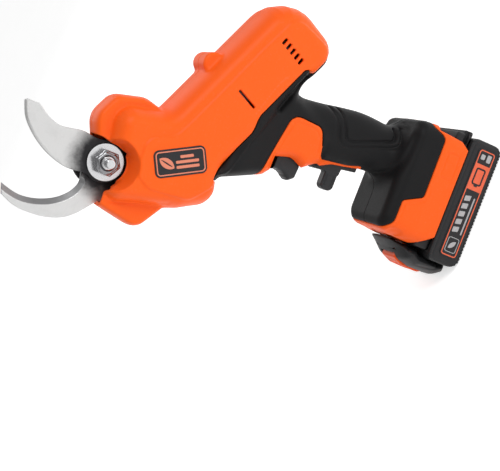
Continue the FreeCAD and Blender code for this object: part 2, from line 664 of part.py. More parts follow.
CAN_S = (-26.0, 26.0)
END_CAP_S = (-31.0, -26.0)
MOTOR_SHAFT_R = 1.6
SUN_S = (29.0, 41.1)
PLANET_S = (31.0, 41.0)
RING_S = (30.0, 42.0)
RING_FIRST = math.pi / RING_TEETH  # angle of the first space
RING_R = 22.5
CARRIER_S = (41.3, 44.3)
PLANET_CIRCLE = STAGE_MODULE * (SUN_TEETH + PLANET_TEETH) / 2
PLANET_PIN_R = 2.0
NOSE_S = (45.0, 86.0)
NOSE_R = 12.5
OUTPUT_BEARINGS_S = (50.0, 79.0)
OUTPUT_BEARING_R = 9.5
OUTPUT_BEARING_WIDTH = 6.0


def motor():
    can = disc_u(MOTOR_R, *CAN_S).cut(disc_u(MOTOR_R - 1.2, CAN_S[0], CAN_S[1] - 1.5))
    boss = disc_u(6, CAN_S[1], CAN_S[1] + 2.5)
    save("motor_can", can.fuse(boss).cut(disc_u(4.0, CAN_S[1] - 2, CAN_S[1] + 3)))
    cap = disc_u(MOTOR_R - 1.2, *END_CAP_S).fuse(disc_u(7, END_CAP_S[0] - 3, END_CAP_S[0]))
    cap = cap.cut(disc_u(4.0, END_CAP_S[0] - 3, END_CAP_S[1]))
    brushes = []
    for side in (1, -1):
        brush = box(-2, 2, -1.5, 1.5, 0, 7)
        brushes.append(brush)
        brush.Placement = FreeCAD.Placement(on_axis(END_CAP_S[1], 0, side * 9.5),
                                            FreeCAD.Rotation(V(0, 0, 1), ALONG))
    save("motor_end_cap", fuse([cap] + brushes))
    magnet = disc_u(MOTOR_R - 1.2, -16, 18, MOTOR_R - 5)
    gap = Part.makeBox(60, 12, 60, V(-30, -6, -30))
    gap.Placement = FreeCAD.Placement(on_axis(0), FreeCAD.Rotation())
    save("motor_magnets", *magnet.cut(gap).Solids)
    save("motor_bearings", disc_u(4.0, END_CAP_S[0] - 3, END_CAP_S[0] + 2, MOTOR_SHAFT_R + 0.03),
         disc_u(4.0, CAN_S[1] - 1.5, CAN_S[1] + 2.5, MOTOR_SHAFT_R + 0.03))
    save("motor_shaft", disc_u(MOTOR_SHAFT_R, END_CAP_S[0] - 2.5, SUN_S[1]))
    stack = disc_u(12.6, -12, 14, MOTOR_SHAFT_R)
    windings = [disc_u(10.6, -16, -12, MOTOR_SHAFT_R), disc_u(10.6, 14, 18, MOTOR_SHAFT_R)]
    for i in range(5):
        angle = 2 * math.pi * i / 5
        slot = (11.2 * math.cos(angle), 11.2 * math.sin(angle))
        stack = stack.cut(disc_u(2.4, -13, 15, centre=slot))
        stack = stack.cut(disc_u(0.9, -13, 15, centre=(slot[0] * 1.2, slot[1] * 1.2)))
    save("armature", fuse([stack] + windings))
    save("commutator", disc_u(4.6, -24.5, -16.2, MOTOR_SHAFT_R))
    fan = disc_u(5, 19, 22.5, MOTOR_SHAFT_R).fuse(disc_u(12.5, 19, 20))
    for i in range(9):
        blade_box = Part.makeBox(0.8, 8.5, 3.4, V(-0.4, 4, 0))
        blade_box.Placement = FreeCAD.Placement(on_axis(19.4), FreeCAD.Rotation(V(0, 0, 1), ALONG)
                                                * FreeCAD.Rotation(V(0, 0, 1), 40 * i))
        fan = fan.fuse(blade_box)
    save("cooling_fan", fan.cut(disc_u(MOTOR_SHAFT_R, 18, 24)))


def planetary():
    save("sun_pinion", axial_gear(*SUN_S, STAGE_MODULE * SUN_TEETH / 2, STAGE_MODULE, SUN_TEETH, 0,
                                  MOTOR_SHAFT_R, backlash=0.16))
    for i in range(3):
        turn = 2 * math.pi * i / 3
        centre = (PLANET_CIRCLE * math.cos(turn), PLANET_CIRCLE * math.sin(turn))
        # a gap of the planet faces the sun's tooth: 120 degrees is a whole number of sun teeth
        first = turn + math.pi + math.pi / PLANET_TEETH
        save("planet_gear_%d" % (i + 1),
             axial_gear(*PLANET_S, STAGE_MODULE * PLANET_TEETH / 2, STAGE_MODULE, PLANET_TEETH,
                        first, PLANET_PIN_R + SHAFT_GAP, centre, backlash=0.16))
    # the side of a planet away from the sun carries a gap, so a ring tooth faces it
    ring_r = STAGE_MODULE * RING_TEETH / 2
    points = [on_axis(RING_S[0]) + ACROSS * (r * math.cos(a)) + SIDE * (r * math.sin(a))
              for r, a in gear_outline(ring_r, STAGE_MODULE, RING_TEETH, RING_FIRST, RING_TEETH,
                                       addendum=1.1, dedendum=0.7, backlash=-0.16)]
    space = polygon_face(points).extrude(ALONG * (RING_S[1] - RING_S[0]))
    save("ring_gear", disc_u(RING_R, *RING_S).cut(space))
    carrier = disc_u(16.5, *CARRIER_S, SHAFT_R)
    for i in range(3):
        turn = 2 * math.pi * i / 3
        centre = (PLANET_CIRCLE * math.cos(turn), PLANET_CIRCLE * math.sin(turn))
        carrier = carrier.fuse(disc_u(PLANET_PIN_R, PLANET_S[0] - 0.2, CARRIER_S[0] + 1, centre=centre))
    save("planet_carrier", carrier)
    nose = disc_u(NOSE_R, *NOSE_S).fuse(disc_u(RING_R, NOSE_S[0], NOSE_S[0] + 3))
    nose = nose.fuse(disc_u(RING_R, RING_S[1], NOSE_S[0] + 3, 19))
    nose = nose.cut(disc_u(OUTPUT_BEARING_R - 1.5, NOSE_S[0], NOSE_S[1]))
    for start in OUTPUT_BEARINGS_S:
        nose = nose.cut(disc_u(OUTPUT_BEARING_R, start, start + OUTPUT_BEARING_WIDTH))
    nose = nose.cut(disc_u(OUTPUT_BEARING_R, OUTPUT_BEARINGS_S[1], NOSE_S[1]))
    save("gearbox_nose", nose.cut(disc_u(OUTPUT_BEARING_R, NOSE_S[0], OUTPUT_BEARINGS_S[0])))
    races = []
    for start in OUTPUT_BEARINGS_S:
        races += bearing(SHAFT_R + SHAFT_GAP, OUTPUT_BEARING_R, OUTPUT_BEARING_WIDTH / 2, place_u(start))
    save("output_bearings", *races)
    tip = JACK_FROM_MID - BEVEL_GEAR_R
    save("output_shaft", disc_u(SHAFT_R, CARRIER_S[0], tip + 3.8))
    teeth = bevel(JACK, ALONG * -1, SIDE, ACROSS, BEVEL_GEAR_R, BEVEL_PINION_R, BEVEL_MODULE,
                  BEVEL_PINION_TEETH, math.pi + math.pi / BEVEL_PINION_TEETH, BEVEL_WIDTH)
    pinion = teeth.fuse(disc_u(5.6, tip - 1.6, tip)).cut(disc_u(SHAFT_R, tip - 3, tip + 3.8))
    save("bevel_pinion", pinion)


motor()
planetary()

# ---------------------------------------------------------------- controls

TRIGGER_HALF = 8.5
TRIGGER_OUTLINE = [(22, 153.9), (33.5, 153.9, 2), (32.3, 149, 4), (33, 144, 9), (37, 137.5, 2.4),
                   (33, 133.2, 2.5), (24, 132.8, 2), (21, 143, 10)]
PLUNGER_Z = 143.0
SWITCH_X = (-13.0, 7.0)
LEVER_OUTLINE = [(20.5, 127.5, 3), (18.6, 114, 1), (18.6, 103.5, 1), (13.4, 103, 1),
                 (11.5, 91.5, 1), (7.4, 91, 1), (9.6, 99, 10), (12.8, 112, 20), (13, 127, 3)]
LEVER_TAB = [(17, 114.3, 1), (32, 114.3, 4), (32, 103.8, 4), (17, 103.8, 1)]


def controls():
    trigger = plate(TRIGGER_OUTLINE, -TRIGGER_HALF, TRIGGER_HALF)
    rims = [e for e in trigger.Edges if abs(e.BoundBox.YLength) < 1e-4 and e.BoundBox.XMax > 30]
    trigger = trigger.makeFillet(1.2, rims)
    plunger = Part.makeCylinder(2.5, 21, V(1, 0, PLUNGER_Z), V(1, 0, 0))
    save("trigger", trigger.fuse(plunger))
    save("trigger_spring", coil(V(SWITCH_X[1] + 0.5, 0, PLUNGER_Z), V(1, 0, 0), 4.2, 0.5, 12.5, 5))
    body = box(*SWITCH_X, -9, 9, 134.5, 152.5).cut(
        Part.makeCylinder(2.8, 20, V(-8, 0, PLUNGER_Z), V(1, 0, 0)))
    tabs = [box(-18, SWITCH_X[0], y - 2.4, y + 2.4, 138, 138.8) for y in (-5, 5)]
    save("switch_body", fuse([body] + tabs))

    lever = plate(LEVER_OUTLINE, -5.5, 5.5).fuse(plate(LEVER_TAB, -4.8, 4.8))
    save("lock_lever", lever.cut(disc_y(LEVER_PIN, 1.55, -6, 6)))
    save("lock_lever_pin", disc_y(LEVER_PIN, 1.5, -7.6, 7.6))
    save("lock_lever_spring", coil(V(2.0, 0, 98), V(1, 0, 0), 2.4, 0.4, 5.8, 3))


controls()

# ---------------------------------------------------------------- electrics in the foot and grip

def electrics():
    board = box(-32, 34, -26, 26, 60, 61.6)
    chips = [box(4, 22, -8, 8, 61.6, 64.5), box(-6, 2, 10, 20, 61.6, 66), box(24, 30, -16, 16, 61.6, 63)]
    save("control_board", fuse([board] + chips))
    sink = box(-26, -10, -18, 2, 61.6, 63.2)
    for i in range(6):
        sink = sink.fuse(box(-26, -10, -18 + 3.7 * i, -16.5 + 3.7 * i, 63.2, 66.5))
    save("heat_sink", sink)
    block = fuse([box(-38, -30, -16, 16, 39, 59), box(-38, -24, -16, 16, 53.5, 59.5),
                  box(-41, -37, -33, 33, 39, 51.5)])
    slots = [box(-38, -24, y - 0.5, y + 0.5, 41, 48.5) for y in (-10.5, -3.5, 3.5, 10.5)]
    for slot in slots:
        block = block.cut(slot)
    save("terminal_block", block)
    save("terminal_blades", *[box(-38, -5, y - 0.4, y + 0.4, 41.2, 48.3)
                              for y in (-10.5, -3.5, 3.5, 10.5)])
    leads = []
    for side in (-1, 1):
        leads.append(route([V(-8, side * 8, 61.8), V(-8, side * 8, 76), V(-12, side * 6, 96),
                            V(-18, side * 5, 120), V(-20, side * 5, 137.2)], 1.1, 12))
        leads.append(route([V(-17, side * 3, 139.9), V(-17, side * 3, 153), on_axis(12, -24.5, side * 7),
                            on_axis(4, LEAD_ACROSS, side * LEAD_SIDE),
                            on_axis(-33.2, LEAD_ACROSS, side * LEAD_SIDE),
                            on_axis(-33.2, -3, side * 9.5)], 1.1, 4.2))
    save("power_leads", *leads)


electrics()

# ---------------------------------------------------------------- battery

CASE = 2.2
FRONT_BLOCK = [(45.8, 26), (45.8, 56.5, 1), (47.5, 57, 1), (53.5, 47, 8), (60, 39, 10), (62.5, 28, 12),
               (62, 8, 8), (58, 2, 2), (52.6, 2), (52.6, 26)]
RAIL_TOP = 38.0
TOWER_TOP = 51.0


def battery_cases():
    lower = rounded_box(*PACK_X, PACK_HALF, 0, PACK_TOP, 7.5, bottom_edge=2.5)
    inside = rounded_box(PACK_X[0] + CASE, PACK_X[1] - CASE, PACK_HALF - CASE - 1.6, CASE, PACK_TOP + 1, 2)
    for side in (1, -1):
        lower = lower.cut(box(-39, 45, side * 35 - 1.6, side * 35 + 1.6, PACK_TOP - 1, PACK_TOP))
    save("battery_lower_case", lower.cut(inside))

    deck = rounded_box(-45.5, 46.2, 33, PACK_TOP, RAIL_TOP, 4)
    tower = rounded_box(-18, 38, 19, RAIL_TOP, TOWER_TOP, 4)
    upper = fuse([deck, tower, plate(FRONT_BLOCK, -26, 26)])
    hollow = [rounded_box(-36, 44, 30.5, PACK_TOP, RAIL_TOP - 2.5, 3),
              rounded_box(-15, 35, 16.5, PACK_TOP, TOWER_TOP - 2.5, 3),
              box(46.5, 53.5, -17, 17, 8, 44)]
    for space in hollow:
        upper = upper.cut(space)
    for y in (-10.5, -3.5, 3.5, 10.5):
        upper = upper.cut(box(-45, 12, y - 1.1, y + 1.1, 40.4, 49.2))
    for side in (1, -1):
        upper = upper.cut(box(-50, 38, side * 31.5 - 2.5, side * 31.5 + 2.5, PACK_TOP + 2, PACK_TOP + 6))
    latch_space = [box(54, 70, -12.3, 12.3, 10, 43.5), box(41, 56, -8.3, 8.3, 28, 38),
                   box(41, 46.5, -8.3, 8.3, 30, 70)]
    for space in latch_space:
        upper = upper.cut(space)
    save("battery_upper_case", max(upper.Solids, key=lambda s: s.Volume))


def battery_inside():
    step = 2 * CELL_R + 0.3
    first = (PACK_X[0] + PACK_X[1]) / 2 - step * (CELL_COUNT - 1) / 2
    cells = []
    for i in range(CELL_COUNT):
        centre = V(first + step * i, 0, CASE + 0.4 + CELL_R)
        can = disc_y(centre, CELL_R, -CELL_LENGTH / 2, CELL_LENGTH / 2)
        cells.append(can.cut(disc_y(centre, CELL_R + 1, CELL_LENGTH / 2 - 3.5, CELL_LENGTH / 2 - 2.7,
                                    CELL_R - 0.6)))
    save("battery_cells", *cells)
    save("battery_board", box(-34, 34, -24, 24, 22.4, 24))
    contacts = []
    for y in (-10.5, -3.5, 3.5, 10.5):
        contacts.append(box(-14, -6, y - 1.4, y - 0.5, 24, 48.4).fuse(
            box(-14, -6, y + 0.5, y + 1.4, 24, 48.4)).fuse(box(-14, -6, y - 1.4, y + 1.4, 24, 26)))
    save("battery_contacts", *contacts)


def battery_latch():
    button = plate([(55, 41, 1), (60.5, 41, 3), (61.9, 34, 6), (61.6, 19, 4), (59.5, 15, 1), (55, 15, 1)],
                   -11.5, 11.5)
    scoop = Part.makeCylinder(9, 18, V(67, -9, 31), SIDE)
    arm = box(42, 56, -7.5, 7.5, 31.5, 35)
    hook = plate([(41.5, 31.5), (41.5, 55.5), (44.2, 55.5, 0.5), (45.8, 52), (45.8, 31.5)], -7.5, 7.5)
    save("battery_latch", fuse([button, arm, hook]).cut(scoop))
    save("latch_spring", coil(V(58, 0, 10.6), V(0, 0, 1), 2.4, 0.4, 3.8, 3))


LABEL = [(45, 4, 3), (45, 19, 3), (-40, 19, 3), (-40, 4, 3)]

battery_cases()
battery_inside()
battery_latch()
save("battery_labels", plate(LABEL, PACK_HALF, PACK_HALF + 0.4), plate(LABEL, -PACK_HALF - 0.4, -PACK_HALF))
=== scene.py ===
"""Battery electric pruner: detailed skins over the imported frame, materials, light and camera.

Shapes are built as fields: arrays of signed distance in millimetres, negative inside, that are
joined, cut and rounded, and then turned into a mesh where they change sign.
"""
import json
import math

import bpy
import numpy as np
from mathutils import Matrix, Vector

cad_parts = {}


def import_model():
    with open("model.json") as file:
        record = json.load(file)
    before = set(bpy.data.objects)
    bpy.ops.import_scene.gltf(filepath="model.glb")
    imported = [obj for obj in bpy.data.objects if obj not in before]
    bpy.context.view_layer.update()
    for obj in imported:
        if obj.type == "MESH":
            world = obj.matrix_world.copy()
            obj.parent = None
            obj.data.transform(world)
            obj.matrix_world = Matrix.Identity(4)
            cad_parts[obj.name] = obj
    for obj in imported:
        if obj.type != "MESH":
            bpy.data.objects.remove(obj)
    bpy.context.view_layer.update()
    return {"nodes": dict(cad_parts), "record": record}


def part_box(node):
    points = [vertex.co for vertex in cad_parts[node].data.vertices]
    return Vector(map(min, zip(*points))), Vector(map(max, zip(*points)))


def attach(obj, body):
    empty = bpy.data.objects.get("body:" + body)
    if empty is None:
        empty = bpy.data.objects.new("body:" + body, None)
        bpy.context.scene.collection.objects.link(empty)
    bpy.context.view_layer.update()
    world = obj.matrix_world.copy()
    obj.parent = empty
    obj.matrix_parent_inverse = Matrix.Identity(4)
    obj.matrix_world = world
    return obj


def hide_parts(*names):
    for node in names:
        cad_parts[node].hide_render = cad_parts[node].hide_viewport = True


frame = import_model()

MM = 0.001
JOINTS = {joint["name"]: joint for joint in frame["record"]["behaviour"]["joints"]}
PIVOT = [c / MM for c in JOINTS["knife_pivot"]["pos_m"]]
MOTOR = [c / MM for c in JOINTS["rotor_spin"]["pos_m"]]
ALONG = JOINTS["rotor_spin"]["axis"]


def box_mm(node):
    low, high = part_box(node)
    return [c / MM for c in low], [c / MM for c in high]


# ---------- outlines in the XZ plane

def rounded(corners, steps=6):
    """Closed outline from corners (x, z) or (x, z, radius)."""
    points = []
    count = len(corners)
    for i, corner in enumerate(corners):
        here = np.array(corner[:2], float)
        radius = corner[2] if len(corner) > 2 else 0
        if not radius:
            points.append(here)
            continue
        before = np.array(corners[i - 1][:2], float) - here
        after = np.array(corners[(i + 1) % count][:2], float) - here
        before /= np.linalg.norm(before)
        after /= np.linalg.norm(after)
        half = math.acos(np.clip(before @ after, -1, 1)) / 2
        reach = radius / math.tan(half)
        middle = (before + after) / np.linalg.norm(before + after)
        centre = here + middle * (radius / math.sin(half))
        start, end = here + before * reach - centre, here + after * reach - centre
        for k in range(steps + 1):
            share = k / steps
            arm = start * (1 - share) + end * share
            points.append(centre + arm / np.linalg.norm(arm) * radius)
    return np.array(points)


def smooth_line(points, closed=False, steps=8):
    """Curve through the points (Catmull-Rom)."""
    points = [np.array(p, float) for p in points]
    count = len(points)
    spans = count if closed else count - 1
    out = []
    for i in range(spans):
        if closed:
            a, b, c, d = (points[(i + k) % count] for k in (-1, 0, 1, 2))
        else:
            a, b, c, d = (points[min(max(i + k, 0), count - 1)] for k in (-1, 0, 1, 2))
        for k in range(steps):
            t = k / steps
            out.append(0.5 * (2 * b + (c - a) * t + (2 * a - 5 * b + 4 * c - d) * t * t
                              + (3 * b - a - 3 * c + d) * t ** 3))
    if not closed:
        out.append(points[-1])
    return np.array(out)


def line_distance(points, x, z, closed=False):
    """Distance from each sample to a line."""
    points = np.asarray(points, np.float32)
    ends = np.roll(points, -1, 0) if closed else points[1:]
    best = np.full(x.shape, 1e9, np.float32)
    for (ax, az), (bx, bz) in zip(points, ends):
        ux, uz = bx - ax, bz - az
        share = np.clip(((x - ax) * ux + (z - az) * uz) / max(ux * ux + uz * uz, 1e-9), 0, 1)
        best = np.minimum(best, (x - ax - share * ux) ** 2 + (z - az - share * uz) ** 2)
    return np.sqrt(best)


def outline_distance(points, x, z):
    """Signed distance to a closed outline."""
    inside = np.zeros(x.shape, bool)
    points = np.asarray(points, np.float32)
    for (ax, az), (bx, bz) in zip(points, np.roll(points, -1, 0)):
        if az == bz:
            continue
        crosses = ((az > z) != (bz > z)) & (x < (bx - ax) * (z - az) / (bz - az) + ax)
        inside ^= crosses
    distance = line_distance(points, x, z, closed=True)
    return np.where(inside, -distance, distance)


# ---------- fields

class Grid:
    """Sample points on a regular grid. x and z are flat arrays for outlines; X, Y, Z broadcast."""

    def __init__(self, low, high, step):
        step = step * 1
        self.low, self.step = np.array(low, np.float32), step
        axes = [np.arange(a, b + step, step, dtype=np.float32) for a, b in zip(low, high)]
        self.x, self.z = np.meshgrid(axes[0], axes[2], indexing="ij")
        self.X, self.Y, self.Z = (axes[0][:, None, None], axes[1][None, :, None],
                                  axes[2][None, None, :])

    def outline(self, points):
        return outline_distance(points, self.x, self.z)[:, None, :]

    def line(self, points):
        return line_distance(points, self.x, self.z)[:, None, :]

    def radius(self, centre):
        return np.hypot(self.X - centre[0], self.Z - centre[-1])


def join(a, b, k=0.0):
    """Union with a fillet of about k."""
    if not k:
        return np.minimum(a, b)
    blend = np.maximum(k - np.abs(a - b), 0) / k
    return np.minimum(a, b) - blend * blend * k / 4


def meet(a, b, k=0.0):
    return -join(-a, -b, k)


def cut(a, b, k=0.0):
    return -join(-a, b, k)


def pillow(d, y, half, depth, power=2.0):
    """Solid on an outline. Its half width grows from 0 at the outline to half at depth."""
    u = np.maximum(0, (depth + d) / depth)
    v = np.abs(y) / half
    size = np.maximum((u ** power + v ** power) ** (1 / power), 0.02)
    slope = np.sqrt((u ** (power - 1) / depth) ** 2 + (v ** (power - 1) / half) ** 2)
    return (size - 1) / np.maximum(slope * size ** (1 - power), 1 / np.maximum(half, depth) / 3)


def rimmed(a, b, edge):
    """What both solids share, with a true radius along the edge between them."""
    u, v = a + edge, b + edge
    return np.hypot(np.maximum(u, 0), np.maximum(v, 0)) + np.minimum(np.maximum(u, v), 0) - edge


def prism(d, y, half, edge):
    """Plate on an outline with rounded rims."""
    return rimmed(d, np.abs(y) - half, edge)


def block(grid, x0, x1, y0, y1, z0, z1, edge=0.0):
    """Box with all edges rounded."""
    u = [np.abs(p - (a + b) / 2) - (b - a) / 2 + edge
         for p, a, b in ((grid.X, x0, x1), (grid.Y, y0, y1), (grid.Z, z0, z1))]
    outside = np.sqrt(sum(np.maximum(c, 0) ** 2 for c in u))
    return outside + np.minimum(np.maximum(np.maximum(u[0], u[1]), u[2]), 0) - edge


def step_up(value, width):
    """0 to 1 as value goes from -width to width."""
    t = np.clip(value / (2 * width) + 0.5, 0, 1)
    return t * t * (3 - 2 * t)


def corner_samples(field, p):
    """The field between its samples, at points in grid units."""
    top = np.array(field.shape) - 2
    i = np.clip(np.floor(p).astype(np.int32), 0, top)
    f = np.clip(p - i, 0, 1)
    total = 0
    for a in (0, 1):
        for b in (0, 1):
            for c in (0, 1):
                weight = np.abs(1 - a - f[:, 0]) * np.abs(1 - b - f[:, 1]) * np.abs(1 - c - f[:, 2])
                total = total + weight * field[i[:, 0] + a, i[:, 1] + b, i[:, 2] + c]
    return total


def slope_at(field, p):
    out = np.empty_like(p)
    for axis in range(3):
        move = np.zeros(3, np.float32)
        move[axis] = 0.5
        out[:, axis] = corner_samples(field, p + move) - corner_samples(field, p - move)
    return out


def surface(field, grid):
    """Points, quads and normals where the field changes sign."""
    inside = field < 0
    n = [s - 1 for s in field.shape]
    count = np.zeros(n, np.uint8)
    for a in (0, 1):
        for b in (0, 1):
            for c in (0, 1):
                count += inside[a:a + n[0], b:b + n[1], c:c + n[2]]
    cell = np.argwhere((count > 0) & (count < 8))
    index = np.full(n, -1, np.int32)
    index[cell[:, 0], cell[:, 1], cell[:, 2]] = np.arange(len(cell))
    total = np.zeros((len(cell), 3), np.float32)
    hits = np.zeros(len(cell), np.float32)
    for axis in range(3):
        first, second = (axis + 1) % 3, (axis + 2) % 3
        for a in (0, 1):
            for b in (0, 1):
                low = cell.copy()
                low[:, first] += a
                low[:, second] += b
                high = low.copy()
                high[:, axis] += 1
                f0 = field[low[:, 0], low[:, 1], low[:, 2]]
                f1 = field[high[:, 0], high[:, 1], high[:, 2]]
                crosses = (f0 < 0) != (f1 < 0)
                point = (low - cell).astype(np.float32)
                point[:, axis] += np.where(crosses, f0 / np.where(crosses, f0 - f1, 1), 0)
                total += point * crosses[:, None]
                hits += crosses
    points = cell + total / hits[:, None]
    for _ in range(3):
        value, slope = corner_samples(field, points), slope_at(field, points)
        size = np.maximum((slope ** 2).sum(1), 1e-6)
        move = slope * (value / size)[:, None]
        length = np.linalg.norm(move, axis=1)
        points = points - move * np.minimum(1, 0.35 / np.maximum(length, 1e-6))[:, None]
    normals = slope_at(field, points)
    normals /= np.maximum(np.linalg.norm(normals, axis=1), 1e-6)[:, None]
    quads = []
    for axis in range(3):
        first, second = (axis + 1) % 3, (axis + 2) % 3
        window = [slice(0, n[axis] + 1)] * 3
        window[first], window[second] = slice(1, n[first]), slice(1, n[second])
        part = inside[tuple(window)]
        low = np.take(part, range(part.shape[axis] - 1), axis)
        high = np.take(part, range(1, part.shape[axis]), axis)
        place = np.argwhere(low != high)
        flip = high[place[:, 0], place[:, 1], place[:, 2]]
        place[:, first] += 1
        place[:, second] += 1
        ring = []
        for a, b in ((1, 1), (0, 1), (0, 0), (1, 0)):
            at = place.copy()
            at[:, first] -= a
            at[:, second] -= b
            ring.append(index[at[:, 0], at[:, 1], at[:, 2]])
        ring = np.stack(ring, 1)
        ring[flip] = ring[flip][:, ::-1]
        quads.append(ring)
    return points * grid.step + grid.low, np.concatenate(quads), normals


def make_mesh(name, points, faces, normals=None):
    """Object from points in millimetres and equal-sided faces."""
    faces = np.asarray(faces, np.int32)
    mesh = bpy.data.meshes.new(name)
    mesh.vertices.add(len(points))
    mesh.vertices.foreach_set("co", (np.asarray(points) * MM).astype(np.float32).ravel())
    mesh.loops.add(faces.size)
    mesh.loops.foreach_set("vertex_index", faces.ravel())
    mesh.polygons.add(len(faces))
    mesh.polygons.foreach_set("loop_start", np.arange(0, faces.size, faces.shape[1], dtype=np.int32))
    mesh.update(calc_edges=True)
    mesh.shade_smooth()
    if normals is not None:
        mesh.normals_split_custom_set_from_vertices(np.asarray(normals, float).tolist())
    piece = bpy.data.objects.new(name, mesh)
    bpy.context.scene.collection.objects.link(piece)
    return piece


def build(name, field, grid, material, body, nodes=(), mirror=False):
    points, faces, normals = surface(field, grid)
    if mirror:
        points, normals = points * (1, -1, 1), normals * (1, -1, 1)
        faces = faces[:, ::-1]
    piece = make_mesh(name, points, faces, normals)
    return dress(piece, material, body, nodes)


def dress(piece, material, body, nodes=()):
    piece.data.materials.append(material)
    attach(piece, body)
    if nodes:
        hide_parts(*nodes)
    return piece


# ---------- materials

DRIFT_SIZE = 28.0         # sizes of the patterns, in millimetres
DUST_SIZE = 1.6
WAVE_SIZE = 6.0
STAIN_SIZE = 9.0
DUST = (0.5, 0.48, 0.45, 1)
# colour the blades take close to the pivot: they go darker towards it
HUB_DARK_TONE = (0.035, 0.034, 0.036, 1)


def wire(tree, kind, inputs=(), **settings):
    node = tree.nodes.new(kind)
    for key, value in settings.items():
        setattr(node, key, value)
    for key, value in dict(inputs).items():
        if isinstance(value, bpy.types.NodeSocket):
            tree.links.new(value, node.inputs[key])
        else:
            node.inputs[key].default_value = value
    return node


def noise(tree, where, size_mm, detail=3.0, rough=0.5):
    return wire(tree, "ShaderNodeTexNoise", {"Vector": where, "Scale": 1 / (size_mm * MM),
                                             "Detail": detail, "Roughness": rough}).outputs["Fac"]


def spread(tree, value, low, high, out_low, out_high):
    return wire(tree, "ShaderNodeMapRange", {"Value": value, "From Min": low, "From Max": high,
                                             "To Min": out_low, "To Max": out_high}).outputs[0]


def mix(tree, share, a, b):
    node = wire(tree, "ShaderNodeMix", data_type="RGBA")
    for socket, value in ((node.inputs[0], share), (node.inputs[6], a), (node.inputs[7], b)):
        if isinstance(value, bpy.types.NodeSocket):
            tree.links.new(value, socket)
        else:
            socket.default_value = value
    return node.outputs[2]


def shade(color, factor):
    return tuple(min(1.0, c * factor) for c in color) + (1.0,)


def start_material(name, metallic=0.0, specular=0.5):
    mat = bpy.data.materials.new(name)
    mat.use_nodes = True
    tree = mat.node_tree
    shader = tree.nodes["Principled BSDF"]
    shader.inputs["Metallic"].default_value = metallic
    shader.inputs["Specular IOR Level"].default_value = specular
    where = wire(tree, "ShaderNodeTexCoord").outputs["Object"]
    return mat, tree, shader, where


def add_bump(tree, shader, heights):
    """heights: pairs of a noise output and its depth in millimetres."""
    last = None
    for height, depth in heights:
        inputs = {"Height": height, "Distance": depth * MM, "Strength": 1.0}
        if last is not None:
            inputs["Normal"] = last
        last = wire(tree, "ShaderNodeBump", inputs).outputs["Normal"]
    tree.links.new(last, shader.inputs["Normal"])


def plastic(name, color, rough, grain=0.3, depth=0.012, mottle=0.05, edge=0.35, specular=0.5):
    """Moulded plastic: fine grain, slow colour drift, paler rubbed edges."""
    mat, tree, shader, where = start_material(name, 0.0, specular)
    drift = noise(tree, where, DRIFT_SIZE, 2)
    dust = noise(tree, where, DUST_SIZE, 4, 0.7)
    fine = noise(tree, where, grain, 2, 0.6)
    base = mix(tree, drift, shade(color, 1 - mottle), shade(color, 1 + mottle))
    base = mix(tree, spread(tree, dust, 0.55, 0.8, 0, 0.004 + 0.05 * max(color)), base, DUST)
    worn = spread(tree, wire(tree, "ShaderNodeNewGeometry").outputs["Pointiness"], 0.53, 0.62, 0, edge)
    worn = wire(tree, "ShaderNodeMath", {0: worn, 1: dust}, operation="MULTIPLY").outputs[0]
    pale = tuple(c * 0.72 + 0.16 for c in color) + (1.0,)
    tree.links.new(mix(tree, worn, base, pale), shader.inputs["Base Color"])
    tree.links.new(spread(tree, dust, 0.25, 0.75, rough - 0.07, rough + 0.07),
                   shader.inputs["Roughness"])
    add_bump(tree, shader, [(fine, depth), (noise(tree, where, WAVE_SIZE, 2), depth * 2.5)])
    return mat


def steel(name, color, rough, brushed=(0.6, 0.6, 0.6), scratch=0.006, dark=None):
    """Metal. brushed is the stretch of the grind marks along X, Y, Z in millimetres; dark is
    (inner radius, outer radius) of a ring about the pivot in which the colour darkens towards the
    pivot."""
    mat, tree, shader, where = start_material(name, 1.0)
    stretch = [1 / (s * MM) for s in brushed]
    lines = wire(tree, "ShaderNodeMapping", {"Vector": where, "Scale": stretch}).outputs[0]
    marks = wire(tree, "ShaderNodeTexNoise", {"Vector": lines, "Scale": 1.0, "Detail": 4.0,
                                              "Roughness": 0.65}).outputs["Fac"]
    stains = noise(tree, where, STAIN_SIZE, 4, 0.65)
    base = mix(tree, marks, shade(color, 0.92), shade(color, 1.06))
    base = mix(tree, spread(tree, stains, 0.5, 0.8, 0, 0.35), base, shade(color, 0.72))
    roughness = spread(tree, marks, 0.25, 0.75, rough - 0.08, rough + 0.1)
    # blade colour darkening towards the pivot, over the ring given by dark
    if dark:
        flat = wire(tree, "ShaderNodeVectorMath", {0: where, 1: (1, 0, 1)}, operation="MULTIPLY")
        centre = (PIVOT[0] * MM, 0, PIVOT[2] * MM)
        away = wire(tree, "ShaderNodeVectorMath", {0: flat.outputs[0], 1: centre},
                    operation="DISTANCE").outputs["Value"]
        wobble = spread(tree, stains, 0.3, 0.7, -2 * MM, 2 * MM)
        away = wire(tree, "ShaderNodeMath", {0: away, 1: wobble}, operation="ADD").outputs[0]
        ramp = wire(tree, "ShaderNodeMapRange", {"Value": away, "From Min": dark[0] * MM,
                                                 "From Max": dark[1] * MM},
                    interpolation_type="SMOOTHSTEP").outputs[0]
        base = mix(tree, ramp, HUB_DARK_TONE, base)
    tree.links.new(base, shader.inputs["Base Color"])
    tree.links.new(roughness, shader.inputs["Roughness"])
    add_bump(tree, shader, [(marks, scratch)])
    return mat


